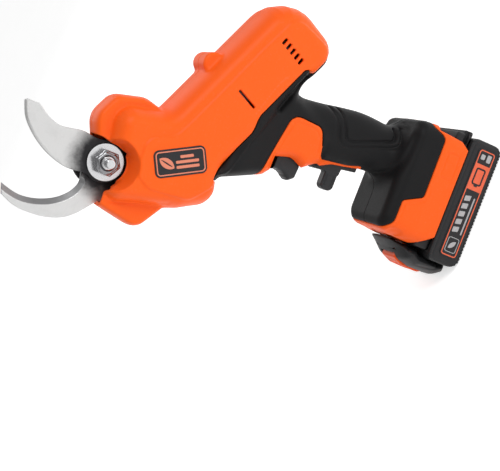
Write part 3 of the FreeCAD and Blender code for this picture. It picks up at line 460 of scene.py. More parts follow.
PRINT = {"grain": 0.4, "depth": 0.004, "mottle": 0.05, "edge": 0.1}
ORANGE = plastic("orange_plastic", (1.0, 0.118, 0.008), 0.45,
                 grain=0.35, depth=0.008, mottle=0.03, edge=0.2, specular=0.18)
SOFT = plastic("soft_black", (0.0072, 0.0072, 0.0078), 0.55,
               grain=0.5, depth=0.02, mottle=0.12, edge=0.05, specular=0.18)
HARD_BLACK = plastic("trigger_black", (0.022, 0.023, 0.025), 0.45,
                     grain=0.6, depth=0.015, mottle=0.1, edge=0.08, specular=0.3)
CASE_BLACK = plastic("case_black", (0.016, 0.0165, 0.018), 0.5,
                     grain=0.7, depth=0.03, mottle=0.12, edge=0.08, specular=0.3)
PLATE_GREY = plastic("badge_grey", (0.022, 0.022, 0.024), 0.4,
                     grain=0.4, depth=0.006, mottle=0.05, edge=0.05, specular=0.25)
RELEASE = plastic("release_orange", (0.85, 0.09, 0.01), 0.4,
                  grain=0.35, depth=0.01, mottle=0.05, edge=0.2, specular=0.25)
LINE_SALMON = plastic("badge_line", (0.72, 0.22, 0.13), 0.4, **PRINT)
PRINT_ORANGE = plastic("label_orange", (0.80, 0.125, 0.045), 0.4, **PRINT)
PRINT_GREY = plastic("label_grey", (0.42, 0.42, 0.43), 0.45, **PRINT)
FERRITE = plastic("magnet", (0.05, 0.05, 0.055), 0.5)
BOARD = plastic("board_green", (0.02, 0.13, 0.06), 0.4)
LEAD = plastic("lead_red", (0.35, 0.02, 0.015), 0.45)
WRAP = plastic("cell_wrap", (0.04, 0.22, 0.27), 0.35)
NYLON = plastic("fan_plastic", (0.17, 0.17, 0.17), 0.5)
BLADE = steel("blade_steel", (0.70, 0.70, 0.695), 0.42,
              brushed=(9, 0.25, 0.25), scratch=0.003, dark=(16, 31))
# ground edge: the grind marks across it are its own finish; its darker grey is painted shade standing
# in for the bevel's darker reflection
GROUND_EDGE_SHADED = steel("ground_edge_painted_shade", (0.34, 0.34, 0.345), 0.4, brushed=(0.3, 2, 0.3), scratch=0.003)
BRIGHT = steel("bright_steel", (0.62, 0.62, 0.63), 0.22, scratch=0.002)
NUT = steel("nut_steel", (0.27, 0.27, 0.28), 0.24, scratch=0.002)
COATED = steel("coated_steel", (0.045, 0.045, 0.048), 0.5, scratch=0.01)
CAST = steel("cast_alloy", (0.55, 0.56, 0.58), 0.55, scratch=0.02)
CAN = steel("motor_steel", (0.5, 0.5, 0.52), 0.3, brushed=(0.3, 0.3, 6))
DARK_STEEL = steel("screw_steel", (0.32, 0.32, 0.33), 0.36)
GEAR = steel("gear_steel", (0.42, 0.42, 0.44), 0.36)
BRONZE = steel("bearing_bronze", (0.6, 0.42, 0.2), 0.4)
COPPER = steel("copper", (0.75, 0.36, 0.18), 0.3)

NODE_MATERIALS = {
    "orange_plastic": ORANGE, "soft_black": SOFT, "trigger_black": HARD_BLACK, "blade_steel": BLADE,
    "bright_steel": BRIGHT, "screw_steel": DARK_STEEL, "gear_steel": GEAR, "cast_alloy": CAST,
    "bearing_bronze": BRONZE, "motor_steel": CAN, "magnet": FERRITE, "copper": COPPER,
    "board_green": BOARD, "lead_red": LEAD, "badge_grey": PLATE_GREY, "case_black": CASE_BLACK,
    "cell_wrap": WRAP, "label_print": PLATE_GREY, "release_orange": RELEASE, "fan_plastic": NYLON,
}
COATED_NODES = ("gear_case_right", "gear_case_left", "lock_lever_pin")
for subpart in frame["record"]["subparts"]:
    finish = NODE_MATERIALS[subpart["material_slot"]]
    if subpart["node"] in COATED_NODES:
        finish = COATED
    for slot in frame["nodes"][subpart["node"]].material_slots:
        slot.material = finish


def soften(node, width, angle=30):
    """Small bevel on a CAD node's hard edges."""
    piece = frame["nodes"][node]
    bevel = piece.modifiers.new("edge", "BEVEL")
    bevel.width = width * MM
    bevel.segments = 3
    bevel.angle_limit = math.radians(angle)
    bevel.harden_normals = True


# ---------- casing

ACROSS = (-ALONG[2], ALONG[0])


def from_motor(along, across):
    """XZ point in the motor's own directions."""
    return (MOTOR[0] + ALONG[0] * along + ACROSS[0] * across,
            MOTOR[2] + ALONG[2] * along + ACROSS[1] * across)


WALL = 3.0
PAD_HALF = 31.0
PAD_RISE = 1.2
PAD_FROM = 26.0         # half width at which the raised pads begin
HEAD_HALF = PAD_HALF - PAD_RISE
HEAD = [(101, 271, 14), (86, 214, 18), (71.5, 190, 14), (49, 196, 20),
        (*from_motor(-38.5, -29), 17), (*from_motor(-41.5, 31.5), 26),
        (24, 248.3, 10), (31, 285, 15)]
SPINE = [(103.5, 270.5, 3), (110.2, 236, 11), (89, 222.5, 4), (73.5, 190, 14), (50, 196, 6),
         (40, 225, 6), (23.5, 249.5, 3), (20.2, 263, 12), (26, 285, 12), (45, 294, 16),
         (60, 287, 2)]
SPINE_HALF = 15.5
NECK = [(58, 203, 4), (40, 162, 4), (34.5, 157.5, 1.5), (24, 157.5, 1), (20.5, 146, 8),
        (25, 135.5, 1), (15, 123, 5), (-2, 122, 5), (-14, 140, 8), (-23, 159.5, 5), (-43, 160, 2.5),
        (-44, 175, 3)]
NECK_HALF = (19.0, 28.5)        # at the trigger and where it meets the head
NECK_WIDENS = (173.0, 16.0)     # middle and half height of the change between them
GRIP = [(3, 56), (5.2, 72), (7.6, 88), (11.2, 104), (14.6, 120), (15, 136), (16, 152), (16, 172),
        (-24, 172), (-24.6, 152), (-26.6, 136), (-29.6, 120), (-31.9, 104), (-31.6, 88),
        (-29.7, 72), (-28, 56)]
GRIP_HALF = 17.5
LEVER_RAIL = [(3, 88), (7.4, 88, 1), (10.4, 101, 8), (12.8, 113, 8), (18.4, 123.6, 2), (10, 126),
              (4, 113), (0, 101)]
LEVER_RAIL_HALF = 8.0
FOOT_X = (-44.5, 45.9)
FOOT_Z = (26.6, 70.5)
FOOT_HALF = 37.5
FOOT_CORNER = 12.0
FOOT_EDGE = 9.0
FOOT_TAPER_Z = 44.0
FOOT_TAPER = (2.0, 3.0)         # lengthwise and across, reached at the top
FOOT_CAVITY_TOP = 52.0
SCREW_BUMP = (-20.5, 227.4)
SCREW_BUMP_R = 8.0
SCREW_BUMP_HALF = 15.0
PAD = [(77, 212, 8), (80, 243, 10), (73, 256, 12), (47, 257, 12), (38, 238, 14), (24, 231, 8),
       (0, 220.3), (-40, 203), (-73, 187.5, 10), (-60, 150, 10), (-35, 160), (20, 184), (56, 195, 8)]
SOFT_ZONE = [(57, 200.5, 1), (50, 200, 6), (30, 193, 20), (15, 186.5, 14), (3, 186.5, 14),
             (-42, 166.5, 4), (-40, 158, 4), (-60, 150), (-60, 57), (-41, 57, 3), (-36, 47, 5),
             (11, 46.5, 3), (18.5, 61, 3), (36, 61, 8), (43.5, 67, 8), (46, 78), (60, 90), (20, 90),
             (5, 89, 2), (9, 101, 10), (13, 127, 4), (4, 129.5, 20), (-8.5, 134, 6),
             (-9.5, 159, 8), (20, 164, 40), (44, 168), (57, 188)]
BLADE_SLOT = [(57.5, 310), (57.5, 283), (62, 262), (85, 262), (93, 268), (140, 266), (140, 310)]
HOOK_SLOT = [(84, 262), (94, 255), (106, 261), (120, 280), (84, 292)]
COLLAR_FRONT = [(34.5, 20), (35, 26, 4), (39, 31, 6), (46, 40, 6), (48, 50), (75, 50), (75, 20)]
COLLAR_REAR = [(-33.5, 20), (-34.5, 27.5), (-38.5, 33), (-40.2, 52), (-60, 52), (-60, 20)]
GRIP_PANEL = [(-28, 126), (-22, 120), (-14, 116), (-9, 113.5), (-7.5, 110), (-9, 105), (-14, 92),
              (-18, 82), (-20, 78), (-24, 77), (-29, 78)]
GRIP_PANEL_OUTER = [(-26, 132), (-20, 125), (-12, 121), (-5, 117.5), (-3, 110), (-5, 103),
                    (-10, 90), (-14, 79), (-18, 73.5), (-25, 72.5), (-31, 73)]
GRIP_COLLAR = [(9, 81), (5, 76), (0, 71.5), (-9, 68.5), (-25, 67.5), (-36, 69)]
TRIGGER_GUARD = [(36, 162), (20, 160.5), (9, 159), (0, 157.5), (-4, 156), (-5.5, 152), (-5.5, 143),
                 (-4.5, 138), (0, 133.5), (10, 131)]
HEAD_CREASE = [(100, 272), (98, 263), (93, 248), (88.5, 235), (84, 224)]
SUNK_LINES = ((HEAD_CREASE, 0.5, 1.6), (TRIGGER_GUARD, 0.5, 0.8), (GRIP_PANEL, 1.2, 0.9),
              (GRIP_PANEL_OUTER, 1.0, 1.3), (GRIP_COLLAR, 1.2, 2.2))      # line, depth, width
BARREL_VALLEY = [(-9, 172), (-38, 161)]
FOOT_BADGE = [(-8, 31.5, 2), (-8, 41, 2), (-27, 41, 2), (-27, 31.5, 2)]
FOOT_DIMPLE = (42.5, 56.0, 2.6, 5.0)      # middle and half sizes
SCREWS = [(-20.5, 228), (-55, 152), (27, 257), (101, 237), (68, 200), (45, 182), (-21, 92),
          (36, 66), (-36, 66)]
SCREW_HEAD_R = 3.3
SCREW_SEAT = 8.0
BOSS_R = 3.9
HOLE_ROOF = 3.6          # left above the screw holes in the foot
DISHES = {1: (10.2, 15.0, 14.2, 20.0), -1: (13.5, 20.5, 11.5, 25.0)}   # floor, radius, hole, rim
DISH_FLOOR = 2.5
DISH_MOUTH = PAD_HALF + 2.0
SLOT_REACH = {1: (60.0, 0.9), -1: (9.1, 9.1)}     # how far out the blade and hook slots go
VENT_FIRST, VENT_STEP, VENT_COUNT = (-53.0, 189.5), (2.1, -4.1), 5
VENT_SIZE, VENT_LEAN = (5.0, 2.2), -20.0
LONG_VENT = (-4.7, 200.2, 1.8, 17.0, -26.0)       # middle, size and lean
VENT_FROM = 8.0
FOOT_SPACES = ((0, 60, -40, 20, 10, 52), (38, 60, -9, 8.5, 50, 57))
TRIGGER_SPACE = (5, 45, -10, 9.3, 133.6, 158)
LEVER_SPACE = [(-4, 128), (30, 128), (30, 88), (2, 88)]
LEVER_SPACE_HALF = 6.0
PARTING = 0.05          # half gap of the visible parting line
TONGUE = 0.4            # how far the left half reaches past the middle behind it
SOFT_SEAM = 0.15        # half gap between the shell and the soft layer
LEVER_SEAM = -0.35      # the same beside the lock lever, where the two overlap
LEVER_SEAM_AREA = (10.0, 10.0, 108.0, 22.0)       # middle and half size in X, then in Z
CASING_BOX = ((-88, -1.2, 25), (113, 40, 297))
CASING_STEP = 0.7


def tilted(x, z, wide, tall, degrees):
    """Rectangle turned about its middle, in the sense of a rotation about +Y."""
    c, s = math.cos(math.radians(degrees)), math.sin(math.radians(degrees))
    corners = [(a * wide / 2, b * tall / 2) for a, b in ((-1, -1), (1, -1), (1, 1), (-1, 1))]
    return [(x + c * a + s * b, z - s * a + c * b) for a, b in corners]


def vent_outlines():
    slots = [tilted(*LONG_VENT)]
    for i in range(VENT_COUNT):
        x, z = (first + step * i for first, step in zip(VENT_FIRST, VENT_STEP))
        slots.append(tilted(x, z, *VENT_SIZE, VENT_LEAN))
    return slots


def groove(body, distance, depth, width):
    """Sink a soft line into a body along the given distances."""
    return body + depth * np.exp(-(distance / width) ** 2)


def foot_plan(g, y):
    """The foot's rounded rectangle as seen from above. It tapers towards the top."""
    rise = np.clip((g.Z - FOOT_TAPER_Z) / (FOOT_Z[1] - FOOT_TAPER_Z), 0, 1)
    u = np.abs(g.X - sum(FOOT_X) / 2) - (FOOT_X[1] - FOOT_X[0]) / 2 + FOOT_TAPER[0] * rise
    v = np.abs(y) - FOOT_HALF + FOOT_TAPER[1] * rise
    return rimmed(u, v, FOOT_CORNER)


def outer_form(g, y, zone):
    """The casing's outside, with its raised pads, creases and sunk lines."""
    head = pillow(g.outline(rounded(HEAD)), y, HEAD_HALF, 14.0, 2.3)
    spine = pillow(g.outline(rounded(SPINE)), y, SPINE_HALF, 5.0, 2.8)
    widen = NECK_HALF[0] + (NECK_HALF[1] - NECK_HALF[0]) * step_up(g.Z - NECK_WIDENS[0], NECK_WIDENS[1])
    neck = pillow(g.outline(rounded(NECK)), y, widen, 9.0, 2.6)
    grip = pillow(g.outline(smooth_line(GRIP, True, 4)), y, GRIP_HALF, 18.0, 2.3)
    body = join(head, spine, 1.6)
    body = join(body, prism(g.radius(SCREW_BUMP) - SCREW_BUMP_R, y, SCREW_BUMP_HALF, 2.5), 3)
    body = join(body, join(neck, grip, 6), 5)
    foot = rimmed(foot_plan(g, y), g.Z - FOOT_Z[1], FOOT_EDGE)
    foot = np.maximum(foot, FOOT_Z[0] - g.Z)
    body = join(body, foot, 16)
    body = join(body, prism(g.outline(rounded(LEVER_RAIL)), y, LEVER_RAIL_HALF, 1.5), 0.5)
    raised = step_up(np.abs(y) - PAD_FROM, 3) * step_up(-g.outline(rounded(PAD)), 1.1)
    body = body - PAD_RISE * raised
    for line, depth, width in SUNK_LINES:
        body = groove(body, g.line(smooth_line(line)), depth * step_up(y - 5, 3), width)
    body = groove(body, g.line(BARREL_VALLEY), 4.0, 3.0)
    low = step_up(60 - g.Z, 3) * step_up(y - 30, 2)
    body = groove(body, g.outline(rounded(FOOT_BADGE)), 0.45 * low, 0.7)
    body = groove(body, zone - 2.6, 0.35 * low * step_up(g.X - 4, 3), 0.8)
    x, z, half_x, half_z = FOOT_DIMPLE
    oval = np.hypot((g.X - x) / half_x, (g.Z - z) / half_z)
    return body + 0.9 * step_up(1 - oval, 0.35) * step_up(y - 25, 3)


def casing(side):
    """Orange shell and soft layer of one half. Y counts outwards from the parting plane."""
    g = Grid(*CASING_BOX, CASING_STEP)
    y = g.Y
    zone = g.outline(rounded(SOFT_ZONE))
    body = outer_form(g, y, zone)
    shell = np.maximum(body, -(body + WALL))
    floor, inner_r, hole_r, rim_r = DISHES[side]
    lean = (rim_r - inner_r) / (DISH_MOUTH - floor - DISH_FLOOR)
    bowl = g.radius(PIVOT) - inner_r - np.maximum(y - floor - DISH_FLOOR, 0) * lean
    rim = np.maximum(bowl - DISH_FLOOR, floor - y)
    shell = join(shell, np.maximum(rim, body), 0.5)
    shell = cut(shell, np.maximum(bowl, floor + DISH_FLOOR - y), 1.2)
    shell = cut(shell, np.maximum(g.radius(PIVOT) - hole_r, -1 - y))
    if side < 0:
        for place in SCREWS:
            boss = np.maximum(g.radius(place) - BOSS_R, SCREW_SEAT - 2 - y)
            shell = join(shell, np.maximum(boss, body))
            hole = np.maximum(g.radius(place) - SCREW_HEAD_R, SCREW_SEAT - y)
            if place[1] < FOOT_Z[1]:
                hole = np.maximum(hole, g.Z - FOOT_Z[1] + HOLE_ROOF)
            shell = cut(shell, hole, 0.5)
    blade_reach, hook_reach = SLOT_REACH[side]
    shell = cut(shell, np.maximum(g.outline(rounded(BLADE_SLOT)), y - blade_reach), 0.6)
    shell = cut(shell, np.maximum(g.outline(rounded(HOOK_SLOT)), y - hook_reach))
    for slot in vent_outlines():
        shell = cut(shell, np.maximum(g.outline(slot), VENT_FROM - y), 0.5)
    shell = cut(shell, np.maximum(foot_plan(g, y) + WALL, g.Z - FOOT_CAVITY_TOP))
    for space in FOOT_SPACES:
        shell = cut(shell, block(g, *space))
    shell = cut(shell, g.outline(rounded(COLLAR_FRONT)), 0.8)
    shell = cut(shell, g.outline(COLLAR_REAR), 0.8)
    shell = cut(shell, block(g, *TRIGGER_SPACE), 0.8)
    shell = cut(shell, np.maximum(g.outline(LEVER_SPACE), y - LEVER_SPACE_HALF), 0.5)
    tongue = TONGUE if side > 0 else -PARTING
    shell = cut(shell, np.where(body < -WALL / 2, y + tongue, y - PARTING), 0.4)
    x, half_x, z, half_z = LEVER_SEAM_AREA
    by_lever = (np.abs(g.X - x) < half_x) & (np.abs(g.Z - z) < half_z)
    seam = np.where(by_lever, LEVER_SEAM, SOFT_SEAM)
    name = "left" if side > 0 else "right"
    build(name + "_shell", meet(shell, seam - zone, 1.0), g, ORANGE, "housing",
          [name + "_housing"], mirror=side < 0)
    build(name + "_soft_layer", meet(shell, zone + seam, 1.0), g, SOFT, "housing",
          [name + "_grip_overmould"], mirror=side < 0)


casing(1)
casing(-1)

# ---------- blades and pivot

HOOK_INNER = [(113, 334.5), (115.5, 326), (116.5, 318), (115, 308), (111, 298), (106, 291),
              (100, 286), (93, 283.5), (86, 285)]
HOOK_OUTER = [(98, 262), (102, 267), (108, 272), (115, 278), (121, 286), (125, 298), (126, 311),
              (125, 321), (120.5, 332)]
HOOK_ROOT = [(88, 284, 3), (101, 268, 3), (88, 246, 5), (62, 247, 5), (60, 270, 5)]
HOOK_SCREWS = [(67, 253), (85, 254)]
KNIFE_FRONT = [(53.5, 341.5), (63.5, 337), (71, 330.5), (78, 321.5), (83, 312), (86.3, 301.5),
               (87, 294), (85.5, 284)]
KNIFE_BACK = [(60, 276), (59.3, 287), (58.4, 296), (60, 305), (60.6, 313), (57.6, 322), (52.6, 330),
              (50.2, 336.5)]
KNIFE_HUB_R = 15.0
BUSH_R = 9.0
BOLT_R = 7.0
TAIL_R = (10.0, 31.0)              # the part that carries the sector gear
TAIL_TURN = (-121.0, -51.0)
TAIL_ARC_R = 20.0
KNIFE_GROUND = (1.3, 3.0)          # width of the ground edge and its thickness left at the rim
HOOK_GROUND = (4.0, 1.1)
HOOK_HUB_R = 16.0
HOOK_SCREW_R = 2.5
HOOK_SINK_R = 4.6
BLADE_STEP = 0.35
HEX_FLATS = 17.0
HEX_CORNERS = 1.155                # across corners for each millimetre across flats
BOLT_HEAD = 6.35
THREAD_R, THREAD_DEPTH, THREAD_PITCH = 4.95, 0.55, 1.5
THREAD_MIDDLE, THREAD_HALF = 11.2, 6.8
TIP_R, TIP_MIDDLE = 3.4, 12.5
NUT_CHAMFER_R = 8.9
NUT_BORE_R = 5.0
NUT_LINE_FLATS = 14.2
CAP_R, CAP_MIDDLE, CAP_HALF = 19.4, -18.05, 1.95
CAP_BACK_R, CAP_BACK_MIDDLE, CAP_BACK_HALF = 11.0, -16.0, 0.45
CAP_RING_R = 14.5
COIN_SLOT = (9.0, 1.3, -18.6)      # half length, half width and bottom


def paint_beside(piece, line, reach, above, material):
    """Give the faces near a line, and above a level in Y, a material of their own."""
    count = len(piece.data.polygons)
    middle = np.empty(count * 3, np.float32)
    piece.data.polygons.foreach_get("center", middle)
    x, y, z = middle.reshape(-1, 3).T / MM
    near = (line_distance(line, x, z) < reach) & (y > above)
    piece.data.materials.append(material)
    piece.data.polygons.foreach_set("material_index", near.astype(np.int32))


def knife():
    low, high = box_mm("knife_blade")
    g = Grid([c - 1 for c in low], [c + 1 for c in high], BLADE_STEP)
    y0, y1 = low[1], high[1]
    form = g.outline(np.concatenate([smooth_line(KNIFE_FRONT), smooth_line(KNIFE_BACK)]))
    form = join(form, g.radius(PIVOT) - KNIFE_HUB_R, 4)
    turn = np.degrees(np.arctan2(g.Z - PIVOT[2], g.X - PIVOT[0]))
    ends = np.maximum(TAIL_TURN[0] - turn, turn - TAIL_TURN[1]) * math.radians(1) * TAIL_ARC_R
    band = np.abs(g.radius(PIVOT) - sum(TAIL_R) / 2) - (TAIL_R[1] - TAIL_R[0]) / 2
    form = join(form, np.maximum(ends, band), 1)
    form = cut(form, g.radius(PIVOT) - BUSH_R)
    solid = prism(form, g.Y - (y0 + y1) / 2, (y1 - y0) / 2, 0.25)
    away = g.line(smooth_line(KNIFE_FRONT[:-1]))
    wide, rim = KNIFE_GROUND
    thick = y0 + rim + (y1 - y0 - rim) * np.clip(away / wide, 0, 1.2)
    solid = meet(solid, (g.Y - thick) * 0.75, 0.3)
    build("knife_skin", solid, g, BLADE, "knife", ["knife_blade"])


def hook():
    low, high = box_mm("hook_blade")
    g = Grid([c - 1 for c in low], [c + 1 for c in high], BLADE_STEP)
    y0, y1 = low[1], high[1]
    form = g.outline(np.concatenate([smooth_line(HOOK_INNER), smooth_line(HOOK_OUTER)]))
    form = join(form, g.outline(rounded(HOOK_ROOT)), 2)
    form = join(form, g.radius(PIVOT) - HOOK_HUB_R, 2)
    form = cut(form, g.radius(PIVOT) - BOLT_R)
    solid = prism(form, g.Y - (y0 + y1) / 2, (y1 - y0) / 2, 0.3)
    away = g.line(smooth_line(HOOK_INNER[:-1]))
    wide, rim = HOOK_GROUND
    thick = rim + (y1 - y0 - rim) * np.clip(away / wide, 0, 1.2)
    solid = meet(solid, (g.Y - y0 - thick) * 0.8, 0.3)
    for place in HOOK_SCREWS:
        r = g.radius(place)
        solid = cut(solid, np.minimum(r - HOOK_SCREW_R, r - HOOK_SINK_R + (y1 - g.Y)))
    piece = build("hook_skin", solid, g, BLADE, "housing", ["hook_blade"])
    # the ground band gets a darker steel: painted shade for the bevel's darker reflection
    paint_beside(piece, smooth_line(HOOK_INNER[:-1]), wide - 0.1, y0 + 0.4, GROUND_EDGE_SHADED)


def hexagon(g, centre, across_flats):
    sides = []
    for k in range(3):
        angle = math.radians(60 * k)
        sides.append(np.abs((g.X - centre[0]) * math.cos(angle) + (g.Z - centre[2]) * math.sin(angle)))
    return np.maximum.reduce(sides) - across_flats / 2


def pivot_bolt():
    low, high = box_mm("pivot_bolt")
    washer_low = box_mm("pivot_washer")[0][1]
    g = Grid([c - 1 for c in low], [c + 1 for c in high], 0.3)
    y, r = g.Y, g.radius(PIVOT)
    head_top = low[1] + BOLT_HEAD
    corner = HEX_CORNERS * HEX_FLATS / 2 + 0.2
    head = meet(np.maximum(hexagon(g, PIVOT, HEX_FLATS), y - head_top),
                np.maximum(r - corner - (y - low[1]) + 0.8, low[1] - y), 0.3)
    turn = np.arctan2(g.Z - PIVOT[2], g.X - PIVOT[0]) / (2 * math.pi)
    wave = np.abs(((y / THREAD_PITCH - turn) % 1.0) - 0.5) * 2
    thread = np.maximum(r - THREAD_R + THREAD_DEPTH * wave * (y > washer_low),
                        np.abs(y - THREAD_MIDDLE) - THREAD_HALF)
    shank = np.maximum(r - BOLT_R, np.maximum(head_top - 0.1 - y, y - washer_low + 0.07))
    tip = prism(r - TIP_R, y - TIP_MIDDLE, high[1] - TIP_MIDDLE, 0.7)
    solid = join(join(head, shank), join(thread, tip, 0.4))
    build("pivot_bolt_skin", solid, g, BRIGHT, "housing", ["pivot_bolt"])


def pivot_nut():
    low, high = box_mm("pivot_nut")
    g = Grid([c - 1 for c in low], [c + 1 for c in high], 0.3)
    r = g.radius(PIVOT)
    solid = meet(hexagon(g, PIVOT, HEX_FLATS), np.maximum(low[1] - g.Y, g.Y - high[1]), 0.3)
    chamfer = r - NUT_CHAMFER_R + np.maximum(g.Y - high[1] + 1.0, 0) * 1.6
    solid = meet(solid, chamfer - 0.9 * (high[1] - g.Y > 1.0), 0.2)
    solid = cut(solid, r - NUT_BORE_R - 0.9 * np.maximum(g.Y - high[1] + 0.9, 0))
    rim = np.abs(hexagon(g, PIVOT, NUT_LINE_FLATS))
    solid = groove(solid, rim, 0.35 * (g.Y > high[1] - 0.8), 0.5)
    build("pivot_nut_skin", solid, g, NUT, "housing", ["pivot_nut"])


def pivot_cap():
    low, high = box_mm("pivot_cap")
    g = Grid([c - 1 for c in low], [c + 1 for c in high], 0.35)
    r = g.radius(PIVOT)
    solid = prism(r - CAP_R, g.Y - CAP_MIDDLE, CAP_HALF, 0.8)
    back = np.maximum(r - CAP_BACK_R, np.abs(g.Y - CAP_BACK_MIDDLE) - CAP_BACK_HALF)
    solid = join(solid, back)
    solid = groove(solid, r - CAP_RING_R, 0.7 * (g.Y < -18), 0.7)
    long, wide, bottom = COIN_SLOT
    slot = np.maximum(np.abs(g.X - PIVOT[0]) - long, np.abs(g.Z - PIVOT[2]) - wide)
    solid = cut(solid, np.maximum(slot, g.Y - bottom), 0.4)
    build("pivot_cap_skin", solid, g, HARD_BLACK, "housing", ["pivot_cap"])


knife()
hook()
pivot_bolt()
pivot_nut()
pivot_cap()
soften("pivot_washer", 0.35)

# ---------- controls

TRIGGER_OUTLINE = [(18, 157.2), (33.5, 157.2, 2), (31.8, 152, 4), (32.6, 147, 9), (37, 140.5, 2.6),
                   (33, 135.6, 3), (24, 135, 2), (18, 138, 2)]
TRIGGER_HALF = 8.5
TRIGGER_RIBS_Z = (142, 145, 148, 151)
PLUNGER_Z = 143.0
PLUNGER_R = 2.5
PLUNGER_X = (1.0, 23.0)
LEVER_OUTLINE = [(20.5, 127.5, 3), (18.6, 114, 1), (18.6, 103.5, 1), (13.4, 103, 1),
                 (11.5, 91.5, 1), (5, 91.5, 1), (7, 99, 10), (9.8, 112, 20), (11, 127, 3)]
LEVER_TAB = [(17, 114.3, 1), (32, 114.3, 4), (32, 103.8, 4), (17, 103.8, 1)]
LEVER_HALF = 5.5
LEVER_TAB_HALF = 4.8
LEVER_PIN_R = 1.55
SPRING_POCKET_R = 3.5
SPRING_POCKET_X = 10.9


def middle_of(node):
    return [(a + b) / 2 for a, b in zip(*box_mm(node))]


def trigger():
    low, high = box_mm("trigger")
    g = Grid([c - 1 for c in low], [c + 1 for c in high], 0.4)
    solid = pillow(g.outline(rounded(TRIGGER_OUTLINE)), g.Y, TRIGGER_HALF, 3.5, 2.8)
    for z in TRIGGER_RIBS_Z:
        solid = groove(solid, g.Z - z, 0.3 * step_up(6 - np.abs(g.Y), 1) * (g.X > 28), 0.45)
    plunger = np.maximum(np.hypot(g.Y, g.Z - PLUNGER_Z) - PLUNGER_R,
                         np.maximum(PLUNGER_X[0] - g.X, g.X - PLUNGER_X[1]))
    build("trigger_skin", join(solid, plunger, 0.5), g, HARD_BLACK, "trigger", ["trigger"])


def lock_lever():
    low, high = box_mm("lock_lever")
    g = Grid([c - 1 for c in low], [c + 1 for c in high], 0.4)
    solid = prism(g.outline(rounded(LEVER_OUTLINE)), g.Y, LEVER_HALF, 0.9)
    tab = prism(g.outline(rounded(LEVER_TAB)), g.Y, LEVER_TAB_HALF, 1.2)
    solid = join(solid, tab, 1.5)
    solid = groove(solid, g.outline(rounded(LEVER_TAB)) + 2.2, 0.35 * (g.X > 20), 0.6)
    solid = cut(solid, g.radius(middle_of("lock_lever_pin")) - LEVER_PIN_R)
    pocket = np.hypot(g.Y, g.Z - middle_of("lock_lever_spring")[2]) - SPRING_POCKET_R
    solid = cut(solid, np.maximum(pocket, g.X - SPRING_POCKET_X))
    build("lock_lever_skin", solid, g, HARD_BLACK, "lock_lever", ["lock_lever"])


trigger()
lock_lever()

# ---------- badges and labels

BADGE_MID = (54.0, 229.0)
BADGE_LEAN = 28.0
BADGE_SIZE = (19.6, 38.0)
BADGE_R = 4.0
BADGE_LEAF_AHEAD = 10.0
BADGE_BARS = ((3.6, 17.0), (0.0, 17.0), (-3.6, 10.0))     # place across the badge and length
BADGE_BARS_BACK = 5.0
BADGE_BAR_WIDTH = 2.2


def tilted_plate(middle, size, radius, degrees):
    corners = tilted(*middle, *size, degrees)
    return rounded([(x, z, radius) for x, z in corners])


def leaf(g, centre, length, width, degrees):
    """Pointed oval: where two discs overlap."""
    c, s = math.cos(math.radians(degrees)), math.sin(math.radians(degrees))
    u = (g.X - centre[0]) * c + (g.Z - centre[1]) * s
    v = -(g.X - centre[0]) * s + (g.Z - centre[1]) * c
    r = (length ** 2 / 4 + width ** 2 / 4) / width
    return np.maximum(np.hypot(u, v - (r - width / 2)), np.hypot(u, v + (r - width / 2))) - r


def side_badge(side):
    """Dark plate with a thin border, a leaf mark and three bars."""
    low, high = box_mm("side_badges")
    top = high[1]
    g = Grid((low[0] - 1, top - 1.2, low[2] - 1), (high[0] + 1, top + 0.8, high[2] + 1), 0.3)
    plate = g.outline(tilted_plate(BADGE_MID, BADGE_SIZE, BADGE_R, BADGE_LEAN))
    back = prism(plate, g.Y - (top - 0.5), 0.5, 0.25)
    name = "left" if side > 0 else "right"
    build(name + "_badge_plate", back, g, PLATE_GREY, "housing", ["side_badges"], mirror=side < 0)
    ring = np.abs(plate + 1.7) - 0.5
    axis = (math.sin(math.radians(BADGE_LEAN)), math.cos(math.radians(BADGE_LEAN)))
    middle = [BADGE_MID[k] + BADGE_LEAF_AHEAD * axis[k] for k in (0, 1)]
    marks = cut(leaf(g, middle, 13, 7, 100), leaf(g, middle, 11, 0.9, 100))
    for across, length in BADGE_BARS:
        middle = (BADGE_MID[0] - BADGE_BARS_BACK * axis[0] + across * axis[1],
                  BADGE_MID[1] - BADGE_BARS_BACK * axis[1] - across * axis[0])
        bar = tilted_plate(middle, (BADGE_BAR_WIDTH, length), 0.8, BADGE_LEAN)
        marks = np.minimum(marks, g.outline(bar))
    raised = prism(np.minimum(ring, marks), g.Y - top, 0.25, 0.1)
    build(name + "_badge_line", raised, g, LINE_SALMON, "housing", ["side_badges"], mirror=side < 0)


LABEL = (-40.0, 45.0, 4.0, 19.0)            # X and Z limits, here and below
LABEL_BLOCK_X = (-28.5, -8.0)
CELL_MARK = (-25, -13, 8, 15)
CELL_MARK_END = (-12.6, -11.2, 10, 13)
SMALL_MARKS = ((-37, -31, 7, 10.6), (-36, -32, 12.2, 15.8))
CHARGE_FIRST, CHARGE_STEP, CHARGE_COUNT = -4.0, 6.2, 5
CHARGE_BAR = ((0, 11), (4.2, 11), (5.4, 16), (1.2, 16))
LABEL_RULE = (-3, 26.5, 7.2, 8.6)
LEAF_FRAME = (30, 41, 7, 16)
LEAF_MARK = (35.5, 11.5)


